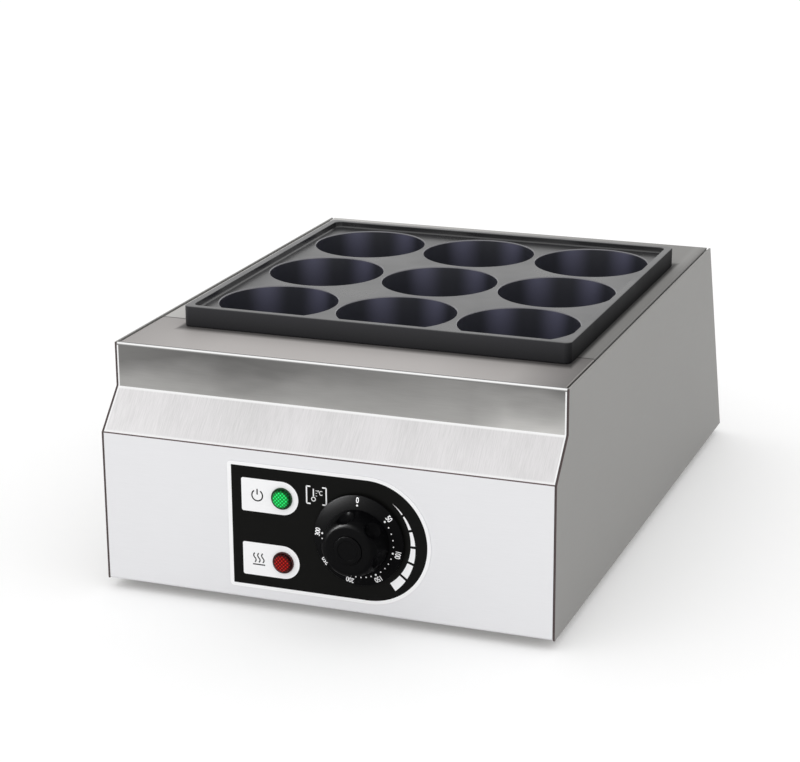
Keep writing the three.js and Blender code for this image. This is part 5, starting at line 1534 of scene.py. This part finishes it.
class EGG_OT_knob(Operator):
    """Turn the knob: numbered dial, scalloped grip and front disc"""

    bl_idname = "egg_maker.knob"
    bl_label = "Knob"

    def execute(self, context):
        s = controls()
        self.dial(s)
        self.grip(s)
        self.cap(s)
        return {"FINISHED"}

    def dial(self, s):
        """The dial's shallow cone with its print."""
        back, front = self.span("knob_dial")
        hole = s.hub_radius + CLEARANCE
        profile = [
            (hole, back), (s.dial_radius - s.dial_edge, back), (s.dial_radius, back + s.dial_edge),
            (s.dial_radius, back + s.dial_rim - s.dial_edge),
            (s.dial_radius - s.dial_edge, back + s.dial_rim),
            (s.grip_radius, front), (hole, front), (hole, back),
        ]
        dial = turned("dial", profile, knob_axis(), FRONT, s.steps)
        smoothed(dial, math.radians(50))
        coat(dial, "knob")
        slope = (front - back - s.dial_rim) / (s.dial_radius - s.grip_radius)
        height = lambda radius: front - (radius - s.grip_radius) * slope
        prints = self.dots(s, height(s.dot_ring)) + self.numbers(s, height(s.number_ring), math.atan(slope))
        self.fit_glossy(joined([dial, *prints]), "knob_dial")

    def span(self, node):
        """Distances of a node's back and front from the knob joint's point, along its axis."""
        low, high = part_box(node)
        return knob_axis().y - high.y, knob_axis().y - low.y

    def dots(self, s, height):
        """A dot at each number, and small dots between the numbers after the first two."""
        between = [
            before + (after - before) * k / DOT_STEPS
            for before, after in zip(DIAL_ANGLES[1:], DIAL_ANGLES[2:]) for k in range(1, DOT_STEPS)
        ]
        made = []
        for radius, angles in ((s.main_dot, DIAL_ANGLES), (s.small_dot, between)):
            spots = [round_knob(s.dot_ring, math.radians(a)) for a in angles]
            dot = rod("dot", radius, height - s.ink, height + s.ink * 2, spots[0], FRONT, 12)
            coat(dot, "ink")
            made += spread(dot, spots)
        return made

    def numbers(self, s, height, lean):
        """The dial's numbers, each standing outwards."""
        made = []
        for k, degrees in enumerate(DIAL_ANGLES):
            turn = math.radians(degrees)
            spot = round_knob(s.number_ring, turn) + FRONT * (height + s.ink)
            made.append(lettering(str(NUMBER_STEP * k), spot, s.number_height, -turn, s.ink * 2, lean))
        return made

    def grip(self, s):
        """The grip with its shaft bore, its disc's seat and its finger hollows."""
        back, front = self.span("knob_grip")
        seat = self.span("knob_dial")[1] + CLEARANCE
        disc_floor = self.span("knob_cap")[0] - CLEARANCE
        bore_end = self.span("thermostat_shaft")[1] + CLEARANCE
        bore = box_radius("thermostat_shaft") + CLEARANCE
        recess = s.cap_radius + CLEARANCE
        shoulder = front - s.grip_edge
        edge = arc((s.grip_front - s.grip_edge, shoulder), s.grip_edge, 0, QUARTER_TURN, 8)
        profile = [
            (bore, back), (s.hub_radius, back), (s.hub_radius, seat), (s.grip_radius - s.dial_edge, seat),
            (s.grip_radius, seat + s.dial_edge), *edge, (recess, front), (recess, disc_floor),
            (0, disc_floor), (0, bore_end), (bore, bore_end), (bore, back),
        ]
        grip = turned("grip", profile, knob_axis(), FRONT, s.steps)
        combined(grip, self.hollows(s, shoulder), "DIFFERENCE")
        smoothed(grip, math.radians(28))
        coat(grip, "knob")
        self.fit_glossy(grip, "knob_grip")

    def hollows(self, s, shoulder):
        """The finger hollows round the grip's shoulder."""
        only()
        turns = [s.scallop_start + FULL_TURN * k / s.scallops for k in range(s.scallops)]
        reach = s.grip_front + s.scallop_setout
        spots = [round_knob(reach, turn) + FRONT * shoulder for turn in turns]
        bpy.ops.mesh.primitive_uv_sphere_add(
            segments=40, ring_count=24, radius=s.scallop_radius,
            location=spots[0], scale=(1, s.scallop_stretch, 1),
        )
        return spread(settle("hollow"), spots)

    def cap(self, s):
        """The disc in the grip's front, with a shallow dish."""
        back, front = self.span("knob_cap")
        edge = s.cap_proud / 2
        chamfer = edge * 0.3
        dish = s.cap_radius * s.cap_dish
        profile = [
            (0, back), (s.cap_radius, back), (s.cap_radius, front - edge),
            (s.cap_radius - chamfer, front - chamfer), (s.cap_radius - edge, front),
            (dish, front), (dish - edge, front - edge), (0, front - edge),
        ]
        cap = turned("cap", profile, knob_axis(), FRONT, s.steps)
        smoothed(cap, math.radians(30))
        coat(cap, "knob")
        self.fit_glossy(cap, "knob_cap")

    def fit_glossy(self, piece, node):
        """Put a piece on the knob, and let the small lamp light it."""
        fit(piece, KNOB, node)
        bpy.data.collections[GLOSSY_PIECES].objects.link(piece)


class EGG_OT_lamps(Operator):
    """Make the two signal lamps: bezelled bodies and faceted lenses"""

    bl_idname = "egg_maker.lamps"
    bl_label = "Signal lamps"

    def execute(self, context):
        s = controls()
        to_heat = box_middle("heat_lamp_body") - box_middle("power_lamp_body")
        bezel = self.bezel(s)
        dome = self.dome(s)
        pairs = {
            "green": ("power", bezel, dome),
            "red": ("heat", copied(bezel, "heat_bezel", to_heat), copied(dome, "heat_lens", to_heat)),
        }
        for colour, (word, body, glass) in pairs.items():
            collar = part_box(f"{word}_lamp_body")[0].y + s.bezel_proud
            smoothed(body)
            coat(body, "nylon")
            coat(body, f"{colour} bezel", lambda face: middle(face).y < collar + NEAR)
            fit(body, CABINET, f"{word}_lamp_body")
            coat(glass, colour)
            fit(glass, CABINET, f"{word}_lamp_lens")
        return {"FINISHED"}

    def bezel(self, s):
        """The power lamp's body: a barrel behind a bezel with a seat for the lens."""
        low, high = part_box("power_lamp_body")
        centre = box_middle("power_lamp_body")
        centre.y = 0
        radius = box_radius("power_lamp_body")
        barrel = radius * s.bezel_barrel
        front, back = -low.y, -high.y
        collar = front - s.bezel_proud
        edge = s.bezel_proud / 3
        chamfer = edge * 0.3
        seat = box_radius("power_lamp_lens") + s.lens_gap
        floor = front - s.bezel_proud / 2
        profile = [
            (0, back), (barrel, back), (barrel, collar), (radius, collar), (radius, front - edge),
            (radius - chamfer, front - chamfer), (radius - edge, front), (seat + edge / 2, front),
            (seat, front - edge / 2), (seat, floor), (0, floor),
        ]
        return turned("power_bezel", profile, centre, FRONT, 64)

    def dome(self, s):
        """The power lamp's lens: a low dome on a short straight wall."""
        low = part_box("power_lamp_lens")[0]
        radius = box_radius("power_lamp_lens")
        dome_height = s.lens_rise - s.lens_wall
        spot = box_middle("power_lamp_lens")
        spot.y = low.y + dome_height
        only()
        bpy.ops.mesh.primitive_ico_sphere_add(
            subdivisions=4, radius=radius, location=spot, scale=(1, dome_height / radius, 1)
        )
        dome = settle("power_lens")
        with editing(dome):
            bpy.ops.mesh.bisect(plane_co=spot, plane_no=FRONT, use_fill=True, clear_inner=True)
            choose(dome, "FACE", lambda face: is_at(middle(face).y, spot.y))
            draw_out(-FRONT * s.lens_wall)
        return dome


FOOT_PLACES = ("front_left", "front_right", "rear_left", "rear_right")
FOOT_RINGS = (0.35, 0.6, 0.85)


class EGG_OT_feet(Operator):
    """Mould one rubber foot, and copy it to the other three corners"""

    bl_idname = "egg_maker.feet"
    bl_label = "Feet"

    def execute(self, context):
        s = cabinet()
        start = FOOT_PLACES[0]
        feet = {start: self.foot(s, start)}
        for word in FOOT_PLACES[1:]:
            offset = box_middle(f"foot_{word}") - box_middle(f"foot_{start}")
            feet[word] = copied(feet[start], f"rubber_foot_{word}", offset)
        for word, foot in feet.items():
            smoothed(foot, math.radians(25))
            coat(foot, "rubber")
            fit(foot, CABINET, f"foot_{word}")
        return {"FINISHED"}

    def foot(self, s, word):
        """A tapered foot with rings under it and a bore for its screw."""
        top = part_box(f"foot_{word}")[1].z
        centre = box_middle(f"foot_{word}")
        centre.z = 0
        radius = box_radius(f"foot_{word}")
        sole = radius - s.foot_taper
        groove = s.foot_groove
        bore_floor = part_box(f"foot_screw_{word}")[0].z - CLEARANCE
        rings = []
        for reach in FOOT_RINGS:
            ring = sole * reach
            rings += [(ring - groove, 0), (ring, groove), (ring + groove, 0)]
        profile = [
            (0, 0), *rings, (sole - groove, 0), (sole, groove), (radius, top - groove),
            (radius - groove, top), (s.foot_bore, top), (s.foot_bore, bore_floor), (0, bore_floor),
        ]
        return turned(f"rubber_foot_{word}", profile, centre, UP, 48)


KEPT_PIECES = {
    "side": ("rear_panel",),
    "inner": ("base_plate", "heat_tray", "clamp_bar"),
    "element": ("heating_element",),
    "zinc": (
        "heater_link", "mould_stud", "stud_nut", "thermostat_shaft", "thermostat_screw", "foot_screw",
        "rear_screw",
    ),
    "board": ("insulation_board",),
    "ceramic": ("thermostat_body", "terminal_block"),
    "copper": ("sensor_bulb", "capillary_tube"),
    "nylon": ("power_lamp_clip", "heat_lamp_clip", "cable_gland", "gland_nut", "gland_locknut"),
    "brown": ("live_wire", "heater_wire"),
    "blue": ("neutral_wire",),
}


class EGG_OT_inner_pieces(Operator):
    """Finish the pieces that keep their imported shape"""

    bl_idname = "egg_maker.inner_pieces"
    bl_label = "Kept pieces"

    def execute(self, context):
        for name, starts in KEPT_PIECES.items():
            for node in (n for n in NODES if n.startswith(starts)):
                piece = NODES[node]
                if not piece.material_slots:
                    piece.data.materials.append(finish(name))
                for holder in piece.material_slots:
                    holder.material = finish(name)
        return {"FINISHED"}


class EGG_OT_stage(Operator):
    """Set the floor, the soft light and the camera"""

    bl_idname = "egg_maker.stage"
    bl_label = "Stage"

    def execute(self, context):
        s = context.scene.egg_maker_stage
        self.floor(s)
        self.world(s)
        self.soft_lamp(s)
        self.small_lamp(s)
        self.camera(s)
        context.scene.view_settings.view_transform = "Standard"
        return {"FINISHED"}

    def floor(self, s):
        """A wide white floor that glows a little where it is seen, and keeps the shadow."""
        only()
        bpy.ops.mesh.primitive_plane_add(size=s.floor)
        floor = settle("floor")
        white = (s.floor_tone,) * 3
        recipe = Recipe("floor white", white, 0.9, Emission_Color=(*WHITE, 1), Specular_IOR_Level=0)
        path = recipe.add("ShaderNodeLightPath").outputs
        seen = recipe.worked("MAXIMUM", path["Is Camera Ray"], path["Is Glossy Ray"])
        seen = recipe.worked("MAXIMUM", seen, path["Is Transmission Ray"])
        recipe.feed("Emission Strength", recipe.stretched(seen, 0, 1, 0, s.floor_glow))
        floor.data.materials.append(recipe.material)

    def world(self, s):
        """Even light for surfaces, a room that is darker to the right for mirrors, and white to look at."""
        world = bpy.data.worlds.new("studio")
        bpy.context.scene.world = world
        world.use_nodes = True
        tree = world.node_tree
        tree.nodes.clear()
        path = tree.nodes.new("ShaderNodeLightPath").outputs
        spot = tree.nodes.new("ShaderNodeTexCoord")
        split = tree.nodes.new("ShaderNodeSeparateXYZ")
        tree.links.new(spot.outputs["Generated"], split.inputs[0])
        side = tree.nodes.new("ShaderNodeMapRange")
        for key, value in {"From Min": 0.2, "From Max": 0.95, "To Min": 1, "To Max": s.mirrored_side}.items():
            side.inputs[key].default_value = value
        tree.links.new(split.outputs["X"], side.inputs["Value"])
        even, mirrored_room, white = (self.light(tree, strength) for strength in (s.room_light, 1, 1))
        tree.links.new(side.outputs[0], mirrored_room.inputs["Strength"])
        shown = self.mix(tree, path["Is Glossy Ray"], even, mirrored_room)
        shown = self.mix(tree, path["Is Transmission Ray"], shown, white)
        shown = self.mix(tree, path["Is Camera Ray"], shown, white)
        out = tree.nodes.new("ShaderNodeOutputWorld")
        tree.links.new(shown.outputs[0], out.inputs["Surface"])

    def light(self, tree, strength):
        """White light of one strength."""
        made = tree.nodes.new("ShaderNodeBackground")
        made.inputs["Color"].default_value = (*WHITE, 1)
        made.inputs["Strength"].default_value = strength
        return made

    def mix(self, tree, factor, first, second):
        """One light or the other, by a factor."""
        made = tree.nodes.new("ShaderNodeMixShader")
        tree.links.new(factor, made.inputs[0])
        tree.links.new(first.outputs[0], made.inputs[1])
        tree.links.new(second.outputs[0], made.inputs[2])
        return made

    def soft_lamp(self, s):
        """A broad lamp from above the front."""
        only()
        bpy.ops.object.light_add(type="SUN", rotation=(s.key_tilt, s.key_lean, 0))
        lamp = bpy.context.object
        lamp.name = "soft_lamp"
        lamp.data.energy = s.key_light
        lamp.data.angle = s.key_spread
        lamp.visible_glossy = False

    def small_lamp(self, s):
        """A small lamp that only the knob mirrors."""
        only()
        spot = Vector(s.spark_place)
        bpy.ops.object.light_add(type="AREA", location=spot)
        lamp = bpy.context.object
        lamp.name = "small_lamp"
        lamp.rotation_euler = (spot - knob_axis()).to_track_quat("Z", "Y").to_euler()
        lamp.data.shape = "RECTANGLE"
        lamp.data.size = s.spark_width
        lamp.data.size_y = s.spark_length
        lamp.data.energy = s.spark_light
        lamp.visible_diffuse = False
        lamp.light_linking.receiver_collection = bpy.data.collections.new(GLOSSY_PIECES)

    def camera(self, s):
        """The camera at the photograph's place."""
        only()
        bpy.ops.object.camera_add()
        camera = bpy.context.object
        camera.name = "photo_view"
        turn = Matrix.Rotation(s.turn, 4, "Z") @ Matrix.Rotation(QUARTER_TURN - s.tilt, 4, "X")
        camera.matrix_world = Matrix.Translation(s.eye) @ turn @ Matrix.Rotation(s.roll, 4, "Z")
        camera.data.lens = s.lens
        camera.data.sensor_width = s.sensor
        camera.data.clip_end = 100
        bpy.context.scene.camera = camera


STEPS = (
    EGG_OT_stage, EGG_OT_front_cover, EGG_OT_side_panels, EGG_OT_top_plate, EGG_OT_mould,
    EGG_OT_label, EGG_OT_knob, EGG_OT_lamps, EGG_OT_feet, EGG_OT_inner_pieces,
)
GROUPS = {
    "egg_maker_cabinet": CabinetSizes,
    "egg_maker_mould": MouldSizes,
    "egg_maker_controls": ControlSizes,
    "egg_maker_colours": FinishColours,
    "egg_maker_stage": StageSizes,
}


class EGG_PT_maker(Panel):
    """Steps and sizes of the egg burger maker"""

    bl_label = "Egg Burger Maker"
    bl_space_type = "VIEW_3D"
    bl_region_type = "UI"
    bl_category = "Egg Burger Maker"

    def draw(self, context):
        for step in STEPS:
            self.layout.operator(step.bl_idname)
        for name in GROUPS:
            group = getattr(context.scene, name)
            box = self.layout.box()
            for key in group.__annotations__:
                box.prop(group, key)


def register():
    """Register the settings, the steps and the panel."""
    for group in GROUPS.values():
        bpy.utils.register_class(group)
    for name, group in GROUPS.items():
        setattr(bpy.types.Scene, name, PointerProperty(type=group))
    for step in STEPS:
        bpy.utils.register_class(step)
    bpy.utils.register_class(EGG_PT_maker)


def unregister():
    """Take the panel, the steps and the settings out again."""
    bpy.utils.unregister_class(EGG_PT_maker)
    for step in reversed(STEPS):
        bpy.utils.unregister_class(step)
    for name, group in reversed(GROUPS.items()):
        delattr(bpy.types.Scene, name)
        bpy.utils.unregister_class(group)


def main():
    register()
    for step in STEPS:
        group, name = step.bl_idname.split(".")
        getattr(getattr(bpy.ops, group), name)()
    bpy.context.view_layer.update()


if __name__ == "__main__":
    main()
